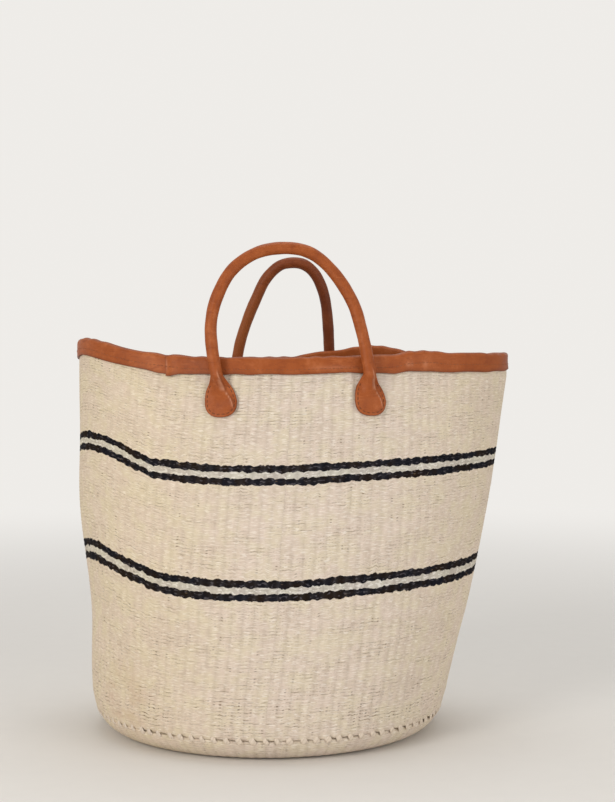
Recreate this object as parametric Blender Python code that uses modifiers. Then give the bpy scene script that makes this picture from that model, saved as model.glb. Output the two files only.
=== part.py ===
"""Kiondo basket: a tall woven sisal basket with a leather-bound mouth and two rolled leather handles.

The basket stands on a round woven base.  Its wall rises from the rounded foot, leans in towards
a flattened mouth, and is built up from woven bands: plain sisal, and two groups of dark, light and
dark rows.  A leather strip folds over the mouth and laps over its own start.  Each handle is a
rope core in a rolled leather cover, hinged where it flattens into its two sewn tabs.

Metres, +Z up, front towards -Y.  The origin is the centre of the base's flat underside.
"""

import math
from dataclasses import dataclass

import bmesh
import bpy
from mathutils import Matrix, Vector

# Basket form
RIM_HEIGHT = 0.400
BASE_RADIUS = 0.188
BASE_EDGE_RADIUS = 0.034
MOUTH_HALF_WIDTH = 0.232
MOUTH_FRONT_DEPTH = 0.126
MOUTH_BACK_DEPTH = 0.121
MOUTH_SHIFT = 0.0275
LEFT_RISE = 0.032
RIGHT_RISE = 0.011
WALL_THICKNESS = 0.005

# Plan form of the wall from the top of the rounded foot to the rim, at equal steps of height
WIDTH_SHARES = (0.0, 0.34, 0.70, 0.86, 1.0)
SHIFT_SHARES = (0.0, 0.36, 0.57, 0.81, 1.0)
FRONT_SHARES = (0.0, 0.01, 0.23, 0.62, 1.0)
BACK_SHARES = (0.0, 0.15, 0.35, 0.63, 1.0)
LEFT_RISE_SHARES = (0.0, 0.68, 1.0, 0.94, 0.62)
RIGHT_RISE_SHARES = (0.0, 0.50, 1.0, 0.80, 0.63)
ROUND_POWER = 2.0
LEFT_MOUTH_POWER = 2.30
RIGHT_MOUTH_POWER = 1.65
POWER_GROWTH = 1.5
LEFT_RISE_ANGLE = math.radians(160)
LEFT_RISE_SPREAD = math.radians(30)
RIGHT_RISE_ANGLE = math.radians(0)
RIGHT_RISE_SPREAD = math.radians(75)

# Woven bands
SEAM_LEVEL = 0.0230
SEAM_CLEARANCE = 0.0006
LOWER_STRIPES_LEVEL = 0.1719
UPPER_STRIPES_LEVEL = 0.2837
DARK_ROW_HEIGHT = 0.0068
LIGHT_ROW_HEIGHT = 0.0062
BAND_STEP = 0.046
CLEARANCE = 0.0003

# Seam stitching round the foot
SEAM_PITCH = 0.011
SEAM_STITCH_HEIGHT = 0.0062
SEAM_THREAD_RADIUS = 0.0008
SEAM_SLANT_SHARE = 0.7
FOOT_LEVEL_SHARE = 0.4
FOOT_TURN_SHARES = (0.0, 0.25, 0.5, 0.75, 1.0)

# Leather binding of the mouth
BINDING_THICKNESS = 0.0018
BINDING_HEIGHT = 0.016
BINDING_CHAMFER = 0.0009
LAP_ANGLE = math.radians(120.6)
LAP_LENGTH = 0.010
LAP_RAMP_LENGTH = 0.012
LAP_START_GAP = 0.0006
THREAD_RADIUS = 0.00045
BINDING_STITCH_INSET = 0.0035

# Handles
HANDLE_RADIUS = 0.00625
HANDLE_COVER_THICKNESS = 0.0015
HANDLE_LEAN = math.radians(10)
NECK_DROP = 0.0244
NECK_LEVEL = RIM_HEIGHT - NECK_DROP
FRONT_HANDLE_SPAN = 0.1495
FRONT_HANDLE_RISE = 0.1357
FRONT_HANDLE_CENTRE = 0.0273
REAR_HANDLE_SPAN = 0.1071
REAR_HANDLE_RISE = 0.1255
REAR_HANDLE_CENTRE = 0.0123
FRONT_ROUTE_SHARES = (
    (-1.0, 0.0), (-1.061, 0.214), (-1.074, 0.416), (-0.991, 0.617), (-0.786, 0.822),
    (-0.46, 0.965), (-0.10, 1.0), (0.25, 0.945), (0.565, 0.781), (0.79, 0.565),
    (0.895, 0.36), (0.96, 0.17), (1.0, 0.0),
)
REAR_ROUTE_SHARES = (
    (-1.0, 0.0), (-0.86, 0.28), (-0.68, 0.51), (-0.50, 0.695), (-0.31, 0.865),
    (-0.06, 0.975), (0.20, 1.0), (0.47, 0.968), (0.70, 0.892), (0.86, 0.765),
    (0.95, 0.61), (0.992, 0.40), (1.0, 0.19), (1.0, 0.0),
)
ROUTE_STEPS = 2
HANDLE_END_SHARES = (0.38, 0.67, 0.86)

# Tabs
TAB_THICKNESS = 0.0032
TAB_WIDTH = 0.033
TAB_DROP = 0.0375
TAB_TOP = 0.003
TAB_STANDOFF = 0.0006
TAB_BEVEL = 0.0006
TAB_SKEW = 0.0030
ROOT_DROP = 0.016
SWING_LIMIT = math.radians(145)
SWING_SPARE = math.radians(5)
SWING_CLEARANCE = 0.0004
TAB_STITCH_INSET = 0.004
TAB_STITCH_START = 0.008

# Fineness of the solids
COLUMNS = 56
HANDLE_SIDES_RESOLUTION = 3
CORE_SIDES_RESOLUTION = 2
HANDLE_SIDES = 4 + 2 * HANDLE_SIDES_RESOLUTION
OUTLINE_POINTS = 9
PROBE_ANGLE = 0.02
SHARP_ANGLE = math.radians(40)
WELD_DISTANCE = CLEARANCE / 10
WHOLE_TURN = 2 * math.pi

UP = Vector((0.0, 0.0, 1.0))


@dataclass(frozen=True)
class Finish:
    """A plain finish of one piece: colour, roughness and metallic value."""

    color: tuple
    roughness: float
    metallic: float = 0.0


SISAL = Finish((0.66, 0.55, 0.40), 0.85)
LIGHT_SISAL = Finish((0.76, 0.69, 0.57), 0.85)
DARK_SISAL = Finish((0.025, 0.025, 0.035), 0.80)
LEATHER = Finish((0.46, 0.21, 0.08), 0.45)
THREAD = Finish((0.52, 0.30, 0.14), 0.70)
ROPE = Finish((0.62, 0.52, 0.36), 0.90)


@dataclass(frozen=True)
class Plan:
    """The outline of the wall at one height, seen from above."""

    centre: float
    half_width: float
    front: float
    back: float
    left_power: float
    right_power: float


@dataclass(frozen=True)
class Side:
    """One handle and the side of the basket it is on."""

    name: str
    centre: float
    span: float
    rise: float
    route_shares: tuple
    is_front: bool
    left_skew: float


FRONT = Side("front", FRONT_HANDLE_CENTRE, FRONT_HANDLE_SPAN, FRONT_HANDLE_RISE,
             FRONT_ROUTE_SHARES, True, TAB_SKEW)
REAR = Side("rear", REAR_HANDLE_CENTRE, REAR_HANDLE_SPAN, REAR_HANDLE_RISE,
            REAR_ROUTE_SHARES, False, 0.0)


def clear_scene():
    """Remove every object of the scene."""
    for item in list(bpy.data.objects):
        bpy.data.objects.remove(item, do_unlink=True)


def new_collection(name):
    """Make a collection in the scene."""
    collection = bpy.data.collections.new(name)
    bpy.context.scene.collection.children.link(collection)
    return collection


def make_material(name, finish):
    """Make the Principled material of one piece."""
    material = bpy.data.materials.new(name)
    material.use_nodes = True
    shader = material.node_tree.nodes["Principled BSDF"]
    shader.inputs["Base Color"].default_value = (*finish.color, 1.0)
    shader.inputs["Roughness"].default_value = finish.roughness
    shader.inputs["Metallic"].default_value = finish.metallic
    return material


def add_object(name, data, collection, finish=None, parent=None):
    """Link a mesh or curve as a named object, with its own material."""
    item = bpy.data.objects.new(name, data)
    collection.objects.link(item)
    if finish is not None:
        data.materials.append(make_material(name, finish))
    if parent is not None:
        item.parent = parent
    return item


def add_frame(name, collection, origin, x_axis, y_axis, z_axis):
    """Add an empty at a point, turned to three axes."""
    frame = bpy.data.objects.new(name, None)
    collection.objects.link(frame)
    turn = Matrix((x_axis, y_axis, z_axis)).transposed()
    frame.matrix_world = Matrix.Translation(origin) @ turn.to_4x4()
    return frame


def mesh_from_bmesh(name, shape):
    """Turn a bmesh into a mesh with outward faces, shaded smooth over its round parts."""
    bmesh.ops.recalc_face_normals(shape, faces=shape.faces[:])
    mesh = bpy.data.meshes.new(name)
    shape.to_mesh(mesh)
    shape.free()
    mesh.shade_smooth()
    mesh.set_sharp_from_angle(angle=SHARP_ANGLE)
    return mesh


def along(shares, upright_share):
    """Read a smooth curve through shares that stand at equal steps."""
    steps = len(shares) - 1
    place = min(max(upright_share, 0.0), 1.0) * steps
    index = min(int(place), steps - 1)
    part = place - index
    before = shares[max(index - 1, 0)]
    start = shares[index]
    end = shares[index + 1]
    after = shares[index + 2] if index + 2 <= steps else 2 * end - start
    slope_in = (end - before) / 2.0
    slope_out = (after - start) / 2.0
    square, cube = part ** 2, part ** 3
    return ((2 * cube - 3 * square + 1) * start + (cube - 2 * square + part) * slope_in
            + (3 * square - 2 * cube) * end + (cube - square) * slope_out)


def blend_sizes(low, high, share):
    """Go from one size to another."""
    return low + (high - low) * share


def height_share(level):
    """Give the share of the upright wall, above the rounded foot, below a level."""
    return max(level - BASE_EDGE_RADIUS, 0.0) / (RIM_HEIGHT - BASE_EDGE_RADIUS)


def plan_at(level):
    """Work out the wall's outline at a level."""
    share = height_share(level)
    growth = min(share, 1.0) ** POWER_GROWTH
    return Plan(
        centre=MOUTH_SHIFT * along(SHIFT_SHARES, share),
        half_width=blend_sizes(BASE_RADIUS, MOUTH_HALF_WIDTH, along(WIDTH_SHARES, share)),
        front=blend_sizes(BASE_RADIUS, MOUTH_FRONT_DEPTH, along(FRONT_SHARES, share)),
        back=blend_sizes(BASE_RADIUS, MOUTH_BACK_DEPTH, along(BACK_SHARES, share)),
        left_power=blend_sizes(ROUND_POWER, LEFT_MOUTH_POWER, growth),
        right_power=blend_sizes(ROUND_POWER, RIGHT_MOUTH_POWER, growth),
    )


def signed_power(value, power):
    """Raise a size to a power and keep its sign."""
    return math.copysign(abs(value) ** power, value)


def plan_point(plan, angle):
    """Give the outline's point at an angle: 0 is +X, and a quarter turn is the front, -Y."""
    cosine, sine = math.cos(angle), math.sin(angle)
    power = plan.right_power if cosine >= 0 else plan.left_power
    depth = plan.front if sine >= 0 else plan.back
    x = plan.centre + plan.half_width * signed_power(cosine, 2 / power)
    y = -depth * signed_power(sine, 2 / power)
    return Vector((x, y, 0.0))


def plan_normal(plan, angle):
    """Give the outline's outward direction at an angle."""
    run = plan_point(plan, angle + PROBE_ANGLE) - plan_point(plan, angle - PROBE_ANGLE)
    return run.cross(-UP).normalized()


def lobe(angle, centre, spread):
    """Give a smooth bump around an angle, 1 at its centre."""
    turn = (angle - centre + math.pi) % WHOLE_TURN - math.pi
    return math.exp(-(turn / spread) ** 2)


def row_rise(level, angle):
    """Give how far a woven row runs above its level at the two ends of the mouth."""
    share = height_share(level)
    left = LEFT_RISE * along(LEFT_RISE_SHARES, share)
    right = RIGHT_RISE * along(RIGHT_RISE_SHARES, share)
    return (left * lobe(angle, LEFT_RISE_ANGLE, LEFT_RISE_SPREAD)
            + right * lobe(angle, RIGHT_RISE_ANGLE, RIGHT_RISE_SPREAD))


def wall_point(level, angle, inset=0.0):
    """Give a point of the wall.

    A level is the height of a woven row before the rows rise at the ends of the mouth.  The
    inset goes into the wall from its outer surface, square to it in plan, and square to the
    rounding in the foot.
    """
    if level < BASE_EDGE_RADIUS:
        turn = math.acos(1.0 - level / BASE_EDGE_RADIUS)
        reach = BASE_EDGE_RADIUS - inset
        radius = BASE_RADIUS - BASE_EDGE_RADIUS + reach * math.sin(turn)
        height = BASE_EDGE_RADIUS - reach * math.cos(turn)
        return Vector((radius * math.cos(angle), -radius * math.sin(angle), height))
    plan = plan_at(level)
    point = plan_point(plan, angle) - plan_normal(plan, angle) * inset
    point.z = level + row_rise(level, angle)
    return point


def angle_at(level, x, is_front):
    """Find the angle where the front or back wall passes an x position."""
    plan = plan_at(level)
    offset = (x - plan.centre) / plan.half_width
    power = plan.right_power if offset >= 0 else plan.left_power
    angle = math.acos(signed_power(offset, power / 2))
    return angle if is_front else -angle


def lap_angles():
    """Give the turns of the binding's ramp and overlap at its lap joint."""
    ahead = wall_point(RIM_HEIGHT, LAP_ANGLE + PROBE_ANGLE)
    rate = (ahead - wall_point(RIM_HEIGHT, LAP_ANGLE)).length / PROBE_ANGLE
    return LAP_RAMP_LENGTH / rate, LAP_START_GAP / rate, LAP_LENGTH / rate


LAP_RAMP_TURN, LAP_GAP_TURN, LAP_TURN = lap_angles()


def column_angles():
    """Give the angles of all columns, in one turn from the binding's start."""
    even = [WHOLE_TURN * step / COLUMNS for step in range(COLUMNS)]
    extra = [LAP_TURN, LAP_TURN + LAP_RAMP_TURN, WHOLE_TURN - LAP_RAMP_TURN, WHOLE_TURN - LAP_GAP_TURN]
    return [LAP_ANGLE + turn for turn in sorted(even + extra)]


def lap_lift(turn):
    """Give how much of a lap's full lift a thread over the lap has, by its turn from the start."""
    to_start = WHOLE_TURN - turn
    if turn <= LAP_TURN or to_start <= LAP_GAP_TURN:
        return 1.0
    if to_start <= LAP_RAMP_TURN:
        return (LAP_RAMP_TURN - to_start) / (LAP_RAMP_TURN - LAP_GAP_TURN)
    return max(0.0, 1.0 - (turn - LAP_TURN) / LAP_RAMP_TURN)


def ring_mesh(name, profile):
    """Sweep a closed profile of (level, inset) points all round the wall."""
    shape = bmesh.new()
    rings = [[shape.verts.new(wall_point(level, angle, inset)) for level, inset in profile]
             for angle in column_angles()]
    join_rings(shape, rings + rings[:1])
    return mesh_from_bmesh(name, shape)


def join_rings(shape, rings):
    """Join each ring of vertices to the next with quads."""
    for ring, following in zip(rings, rings[1:]):
        for index in range(len(ring)):
            after = (index + 1) % len(ring)
            shape.faces.new((ring[index], ring[after], following[after], following[index]))


def band_levels(low, high):
    """Divide a band's height into steps no taller than BAND_STEP."""
    count = max(1, math.ceil((high - low) / BAND_STEP))
    return [blend_sizes(low, high, step / count) for step in range(count + 1)]


def band_profile(levels):
    """Give the profile of a band of the wall through the given levels."""
    outer = [(level, 0.0) for level in levels]
    inner = [(level, WALL_THICKNESS) for level in reversed(levels)]
    return outer + inner


def stripe_levels(centre):
    """Give the four edges of a dark, light and dark group of rows."""
    half_light = LIGHT_ROW_HEIGHT / 2
    return (centre - half_light - DARK_ROW_HEIGHT, centre - half_light,
            centre + half_light, centre + half_light + DARK_ROW_HEIGHT)


def build_stripes(collection, group, centre):
    """Build the three rows of one striped group."""
    edges = stripe_levels(centre)
    rows = (("dark_row_bottom", DARK_SISAL), ("light_row", LIGHT_SISAL), ("dark_row_top", DARK_SISAL))
    for (row, finish), low, high in zip(rows, edges, edges[1:]):
        name = f"{group}_{row}"
        mesh = ring_mesh(name, band_profile([low, high - CLEARANCE]))
        add_object(name, mesh, collection, finish)


def build_wall(collection):
    """Build the plain bands of the wall and the striped rows between them."""
    lower = stripe_levels(LOWER_STRIPES_LEVEL)
    upper = stripe_levels(UPPER_STRIPES_LEVEL)
    binding_bottom = RIM_HEIGHT - BINDING_HEIGHT
    wall_top = RIM_HEIGHT - BINDING_THICKNESS - CLEARANCE
    foot = SEAM_LEVEL + SEAM_CLEARANCE
    foot_levels = [foot, blend_sizes(foot, BASE_EDGE_RADIUS, FOOT_LEVEL_SHARE)]
    bands = {
        "wall_lower": foot_levels + band_levels(BASE_EDGE_RADIUS, lower[0] - CLEARANCE),
        "wall_middle": band_levels(lower[-1], upper[0] - CLEARANCE),
        "wall_upper": band_levels(upper[-1], binding_bottom) + [wall_top],
    }
    for name, levels in bands.items():
        add_object(name, ring_mesh(name, band_profile(levels)), collection, SISAL)
    build_stripes(collection, "lower_stripes", LOWER_STRIPES_LEVEL)
    build_stripes(collection, "upper_stripes", UPPER_STRIPES_LEVEL)


def build_base(collection):
    """Build the flat woven base and the rounded foot around it."""
    disc = bmesh.new()
    radius = BASE_RADIUS - BASE_EDGE_RADIUS - CLEARANCE
    place = Matrix.Translation(UP * (WALL_THICKNESS / 2)) @ Matrix.Rotation(-LAP_ANGLE, 4, "Z")
    bmesh.ops.create_cone(disc, cap_ends=True, segments=COLUMNS, radius1=radius, radius2=radius,
                          depth=WALL_THICKNESS, matrix=place)
    add_object("woven_base", mesh_from_bmesh("woven_base", disc), collection, SISAL)
    end_turn = math.acos(1.0 - SEAM_LEVEL / BASE_EDGE_RADIUS)
    levels = [BASE_EDGE_RADIUS * (1.0 - math.cos(end_turn * share)) for share in FOOT_TURN_SHARES]
    add_object("base_edge", ring_mesh("base_edge", band_profile(levels)), collection, SISAL)


def build_seam_thread(collection):
    """Build the slanted stitches that join the foot to the wall, as one unbroken thread."""
    count = round(WHOLE_TURN * BASE_RADIUS / SEAM_PITCH)
    inset = -(CLEARANCE + SEAM_THREAD_RADIUS)
    points = []
    for stitch in range(count):
        low_turn = WHOLE_TURN * stitch / count
        high_turn = WHOLE_TURN * (stitch + SEAM_SLANT_SHARE) / count
        points.append(wall_point(SEAM_LEVEL - SEAM_STITCH_HEIGHT / 2, low_turn, inset))
        points.append(wall_point(SEAM_LEVEL + SEAM_STITCH_HEIGHT / 2, high_turn, inset))
    curve = tube_curve("base_seam_thread", points, SEAM_THREAD_RADIUS, 0, is_closed=True)
    add_object("base_seam_thread", curve, collection, SISAL)


def tube_curve(name, points, radius, resolution, is_closed=False, radii=None, has_caps=True):
    """Make a round tube through points, as a poly curve."""
    curve = bpy.data.curves.new(name, "CURVE")
    curve.dimensions = "3D"
    curve.bevel_depth = radius
    curve.bevel_resolution = resolution
    curve.use_fill_caps = has_caps
    spline = curve.splines.new("POLY")
    spline.points.add(len(points) - 1)
    for index, (target, point) in enumerate(zip(spline.points, points)):
        target.co = (*point, 1.0)
        target.radius = radii[index] if radii else 1.0
    spline.use_cyclic_u = is_closed
    return curve


def binding_section(turn, lift):
    """Give the points of the folded strip's section at one place round the mouth."""
    angle = LAP_ANGLE + turn
    outside = -(CLEARANCE + lift)
    inside = WALL_THICKNESS + CLEARANCE + lift
    bottom = RIM_HEIGHT - BINDING_HEIGHT
    top = RIM_HEIGHT + lift
    skin = BINDING_THICKNESS
    section = (
        (bottom, outside), (bottom, outside - skin),
        (top - BINDING_CHAMFER, outside - skin), (top, outside - skin + BINDING_CHAMFER),
        (top, inside + skin - BINDING_CHAMFER), (top - BINDING_CHAMFER, inside + skin),
        (bottom, inside + skin), (bottom, inside), (top - skin, inside), (top - skin, outside),
    )
    return [binding_point(level, angle, inset) for level, inset in section]


def binding_point(level, angle, inset):
    """Give a point of the binding, which follows the rim's own outline above its top."""
    point = wall_point(min(level, RIM_HEIGHT), angle, inset)
    point.z += max(level - RIM_HEIGHT, 0.0)
    return point


def build_binding(collection):
    """Build the leather strip over the mouth, whose end laps over its start."""
    full_lift = BINDING_THICKNESS + CLEARANCE
    stations = []
    for angle in column_angles():
        turn = angle - LAP_ANGLE
        is_end = turn > WHOLE_TURN - LAP_RAMP_TURN
        stations.append((turn, full_lift * lap_lift(turn) if is_end else 0.0))
    stations.append((WHOLE_TURN, full_lift))
    stations.append((WHOLE_TURN + LAP_TURN, full_lift))
    shape = bmesh.new()
    rings = [[shape.verts.new(point) for point in binding_section(turn, lift)]
             for turn, lift in stations]
    join_rings(shape, rings)
    shape.faces.new(rings[0])
    shape.faces.new(rings[-1])
    add_object("rim_binding", mesh_from_bmesh("rim_binding", shape), collection, LEATHER)


def build_binding_threads(collection):
    """Build the stitching along the binding's lower edge, outside and inside the basket."""
    level = RIM_HEIGHT - BINDING_HEIGHT + BINDING_STITCH_INSET
    reach = BINDING_THICKNESS + 2 * CLEARANCE + THREAD_RADIUS
    full_lift = BINDING_THICKNESS + CLEARANCE
    for name, start, way in (("binding_thread_outer", 0.0, -1), ("binding_thread_inner", WALL_THICKNESS, 1)):
        points = []
        for angle in column_angles():
            lift = full_lift * lap_lift(angle - LAP_ANGLE)
            points.append(wall_point(level, angle, start + way * (reach + lift)))
        curve = tube_curve(name, points, THREAD_RADIUS, 0, is_closed=True)
        add_object(name, curve, collection, THREAD)


def smooth_route(points, steps):
    """Read a smooth curve through points, with a number of steps to each."""
    route = []
    last = len(points) - 1
    for index in range(last):
        start, end = points[index], points[index + 1]
        slope_in = (end - points[max(index - 1, 0)]) / 2.0
        slope_out = (points[min(index + 2, last)] - start) / 2.0
        for step in range(steps):
            part = step / steps
            square, cube = part ** 2, part ** 3
            route.append(start * (2 * cube - 3 * square + 1) + slope_in * (cube - 2 * square + part)
                         + end * (3 * square - 2 * cube) + slope_out * (cube - square))
    return route + [points[-1]]


def neck_frame(side, is_left):
    """Give the wall's point, its three directions and the handle's axis point at a neck."""
    x = side.centre + (-side.span if is_left else side.span) / 2
    angle = angle_at(NECK_LEVEL, x, side.is_front)
    point = wall_point(NECK_LEVEL, angle)
    climb = (point - wall_point(NECK_LEVEL - TAB_DROP, angle)).normalized()
    outward = plan_normal(plan_at(NECK_LEVEL), angle)
    across = climb.cross(outward).normalized()
    outward = across.cross(climb).normalized()
    reach = TAB_STANDOFF + TAB_THICKNESS + CLEARANCE + HANDLE_RADIUS
    return point, across, climb, outward, point + outward * reach


def build_handle(collection, side):
    """Build one rope core and its rolled cover, on the axis through the handle's two necks."""
    left, right = neck_frame(side, True)[-1], neck_frame(side, False)[-1]
    axis = (right - left).normalized()
    inward = UP.cross(axis) if side.is_front else axis.cross(UP)
    lean = UP * math.cos(HANDLE_LEAN) + inward.normalized() * math.sin(HANDLE_LEAN)
    upright = (lean - axis * lean.dot(axis)).normalized()
    frame = add_frame(f"{side.name}_handle_axis", collection, (left + right) / 2,
                      axis, upright.cross(axis), upright)
    half_span = (right - left).length / 2
    corners = [Vector((half_span * x_share, 0.0, side.rise * z_share))
               for x_share, z_share in side.route_shares]
    route = smooth_route(corners, ROUTE_STEPS)
    build_cover(collection, side, frame, route)
    face_radius = HANDLE_RADIUS * math.cos(math.pi / HANDLE_SIDES)
    core_radius = face_radius - HANDLE_COVER_THICKNESS - CLEARANCE
    name = f"{side.name}_handle_core"
    core = tube_curve(name, route, core_radius, CORE_SIDES_RESOLUTION)
    add_object(name, core, collection, ROPE, frame)


def build_cover(collection, side, frame, route):
    """Build the leather cover: an open tube whose ends round in about the hinge axis."""
    first_way = (route[0] - route[1]).normalized()
    last_way = (route[-1] - route[-2]).normalized()
    reaches = [HANDLE_RADIUS * share for share in HANDLE_END_SHARES]
    narrow = [math.sqrt(1.0 - share ** 2) for share in HANDLE_END_SHARES]
    points = [route[0] + first_way * reach for reach in reversed(reaches)]
    points += route + [route[-1] + last_way * reach for reach in reaches]
    radii = narrow[::-1] + [1.0] * len(route) + narrow
    name = f"{side.name}_handle_cover"
    curve = tube_curve(name, points, HANDLE_RADIUS, HANDLE_SIDES_RESOLUTION, radii=radii, has_caps=False)
    draft = add_object(f"{name}_draft", curve, collection, None, frame)
    mesh = mesh_of(draft, name)
    cover = add_object(name, mesh, collection, LEATHER, frame)
    shell = cover.modifiers.new("leather", "SOLIDIFY")
    shell.thickness = HANDLE_COVER_THICKNESS
    shell.offset = -1.0
    shell.use_even_offset = True


def mesh_of(draft, name):
    """Turn a curve object into a mesh with welded caps, and remove the curve."""
    bpy.context.view_layer.update()
    ready = draft.evaluated_get(bpy.context.evaluated_depsgraph_get())
    mesh = bpy.data.meshes.new_from_object(ready)
    mesh.name = name
    shape = bmesh.new()
    shape.from_mesh(mesh)
    bmesh.ops.remove_doubles(shape, verts=shape.verts[:], dist=WELD_DISTANCE)
    bmesh.ops.recalc_face_normals(shape, faces=shape.faces[:])
    shape.to_mesh(mesh)
    shape.free()
    mesh.materials.clear()
    data = draft.data
    bpy.data.objects.remove(draft, do_unlink=True)
    bpy.data.curves.remove(data)
    return mesh


def tab_outline(margin, skew):
    """Give the teardrop outline of a tab from its top left round to its top right.

    The lower half is a round of the tab's width.  Above it each side draws in to the width of
    the rolled handle.  A margin moves the outline in, and a skew moves the round sideways.
    """
    radius = TAB_WIDTH / 2
    centre = radius - TAB_DROP
    top = TAB_TOP - margin
    half = []
    for step in range(OUTLINE_POINTS):
        part = step / (OUTLINE_POINTS - 1)
        width = blend_sizes(HANDLE_RADIUS, radius, (1 - math.cos(math.pi * part)) / 2)
        half.append(Vector((margin - width, blend_sizes(top, centre, part), 0.0)))
    for step in range(1, OUTLINE_POINTS):
        turn = math.pi / 2 * step / (OUTLINE_POINTS - 1)
        reach = radius - margin
        half.append(Vector((-reach * math.cos(turn), centre - reach * math.sin(turn), 0.0)))
    outline = half + [Vector((-point.x, point.y, 0.0)) for point in reversed(half[:-1])]
    for point in outline:
        point.x += skew * min((top - point.y) / (top - centre), 1.0)
    return outline


def flat_curve(name, outline, half_thickness, bevel):
    """Make a flat plate from an outline."""
    curve = bpy.data.curves.new(name, "CURVE")
    curve.dimensions = "2D"
    curve.fill_mode = "BOTH"
    curve.extrude = half_thickness - bevel
    curve.bevel_depth = bevel
    curve.bevel_resolution = 0
    spline = curve.splines.new("POLY")
    spline.points.add(len(outline) - 1)
    for target, point in zip(spline.points, outline):
        target.co = (*point, 1.0)
    spline.use_cyclic_u = True
    return curve


def tab_root(name, collection, frame, neck_height):
    """Make the solid of the rolled leather that flattens into a tab.

    It is a cone from the handle's axis down into the pad, cut back so that the handle clears
    it when it hangs a little past its outer limit.
    """
    pad_middle = TAB_STANDOFF + TAB_THICKNESS / 2
    start = Vector((0.0, 0.0, neck_height))
    end = Vector((0.0, -ROOT_DROP, pad_middle))
    run = end - start
    shape = bmesh.new()
    turn = run.to_track_quat("Z", "Y").to_matrix().to_4x4()
    bmesh.ops.create_cone(shape, cap_ends=True, segments=HANDLE_SIDES, radius1=HANDLE_RADIUS,
                          radius2=TAB_THICKNESS / 3, depth=run.length,
                          matrix=Matrix.Translation((start + end) / 2) @ turn)
    swing = SWING_LIMIT + SWING_SPARE
    wallward = Vector((0.0, -math.sin(swing), math.cos(swing)))
    keep = start + wallward * (HANDLE_RADIUS + SWING_CLEARANCE)
    cut = bmesh.ops.bisect_plane(shape, geom=shape.verts[:] + shape.edges[:] + shape.faces[:],
                                 plane_co=keep, plane_no=wallward, clear_inner=True)
    edges = [part for part in cut["geom_cut"] if isinstance(part, bmesh.types.BMEdge)]
    bmesh.ops.holes_fill(shape, edges=edges)
    root = add_object(name, mesh_from_bmesh(name, shape), collection, None, frame)
    root.hide_render = True
    root.display_type = "WIRE"
    return root


def build_tab(collection, cutters, side, is_left):
    """Build one sewn tab and its line of stitches."""
    name = f"{side.name}_{'left' if is_left else 'right'}_tab"
    point, across, climb, outward, _ = neck_frame(side, is_left)
    frame = add_frame(f"{name}_place", collection, point, across, climb, outward)
    skew = side.left_skew if is_left else 0.0
    plate = flat_curve(name, tab_outline(TAB_BEVEL, skew), TAB_THICKNESS / 2, TAB_BEVEL)
    draft = add_object(f"{name}_draft", plate, collection, None, frame)
    pad = add_object(name, mesh_of(draft, name), collection, LEATHER, frame)
    pad.location = (0.0, 0.0, TAB_STANDOFF + TAB_THICKNESS / 2)
    neck_height = TAB_STANDOFF + TAB_THICKNESS + CLEARANCE + HANDLE_RADIUS
    join = pad.modifiers.new("root", "BOOLEAN")
    join.operation = "UNION"
    join.object = tab_root(f"{name}_root", cutters, frame, neck_height)
    line = [corner for corner in tab_outline(TAB_STITCH_INSET, skew) if corner.y < -TAB_STITCH_START]
    height = TAB_STANDOFF + TAB_THICKNESS + CLEARANCE + THREAD_RADIUS
    stitches = [Vector((corner.x, corner.y, height)) for corner in line]
    thread_name = f"{name}_stitching"
    add_object(thread_name, tube_curve(thread_name, stitches, THREAD_RADIUS, 0), collection, THREAD, frame)


def main():
    """Build the whole basket."""
    clear_scene()
    parts = new_collection("kiondo_basket")
    cutters = new_collection("cutters")
    build_base(parts)
    build_seam_thread(parts)
    build_wall(parts)
    build_binding(parts)
    build_binding_threads(parts)
    for side in (FRONT, REAR):
        build_handle(parts, side)
        for is_left in (True, False):
            build_tab(parts, cutters, side, is_left)


main()
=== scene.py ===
"""Kiondo basket, dressed: twined sisal wall and base, leather binding, rolled handles and sewn tabs.

Every sub-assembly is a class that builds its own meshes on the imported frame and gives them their
finishes.  Metres, +Z up, front towards -Y.
"""

import logging
import math
from dataclasses import dataclass
from enum import Enum
from functools import cache

import bpy
import numpy as np
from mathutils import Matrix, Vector

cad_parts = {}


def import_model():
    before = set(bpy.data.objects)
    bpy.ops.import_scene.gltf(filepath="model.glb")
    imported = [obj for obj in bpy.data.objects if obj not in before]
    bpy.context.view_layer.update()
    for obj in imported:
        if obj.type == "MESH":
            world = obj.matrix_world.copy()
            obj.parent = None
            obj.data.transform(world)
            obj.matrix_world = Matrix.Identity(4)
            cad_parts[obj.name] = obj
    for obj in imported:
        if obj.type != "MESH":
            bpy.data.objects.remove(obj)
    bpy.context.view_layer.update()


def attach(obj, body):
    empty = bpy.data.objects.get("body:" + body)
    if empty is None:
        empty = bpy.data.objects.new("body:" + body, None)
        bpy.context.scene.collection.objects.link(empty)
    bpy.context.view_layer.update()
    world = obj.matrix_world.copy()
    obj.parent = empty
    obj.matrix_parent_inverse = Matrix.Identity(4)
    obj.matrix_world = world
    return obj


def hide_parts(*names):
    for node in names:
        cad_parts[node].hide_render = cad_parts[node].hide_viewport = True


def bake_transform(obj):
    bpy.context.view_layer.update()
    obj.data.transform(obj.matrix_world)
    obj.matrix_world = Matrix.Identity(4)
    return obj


LOG = logging.getLogger("kiondo_basket")
WHOLE_TURN = 2 * math.pi
SHARP_ANGLE = math.radians(65)
UP = np.array((0.0, 0.0, 1.0))
BASKET = "basket"

Colour = tuple[float, float, float]
Triple = tuple[float, float, float]
Ends = tuple[float, float]
FourPlaces = tuple[float, float, float, float]
Sizes = np.ndarray | float


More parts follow.
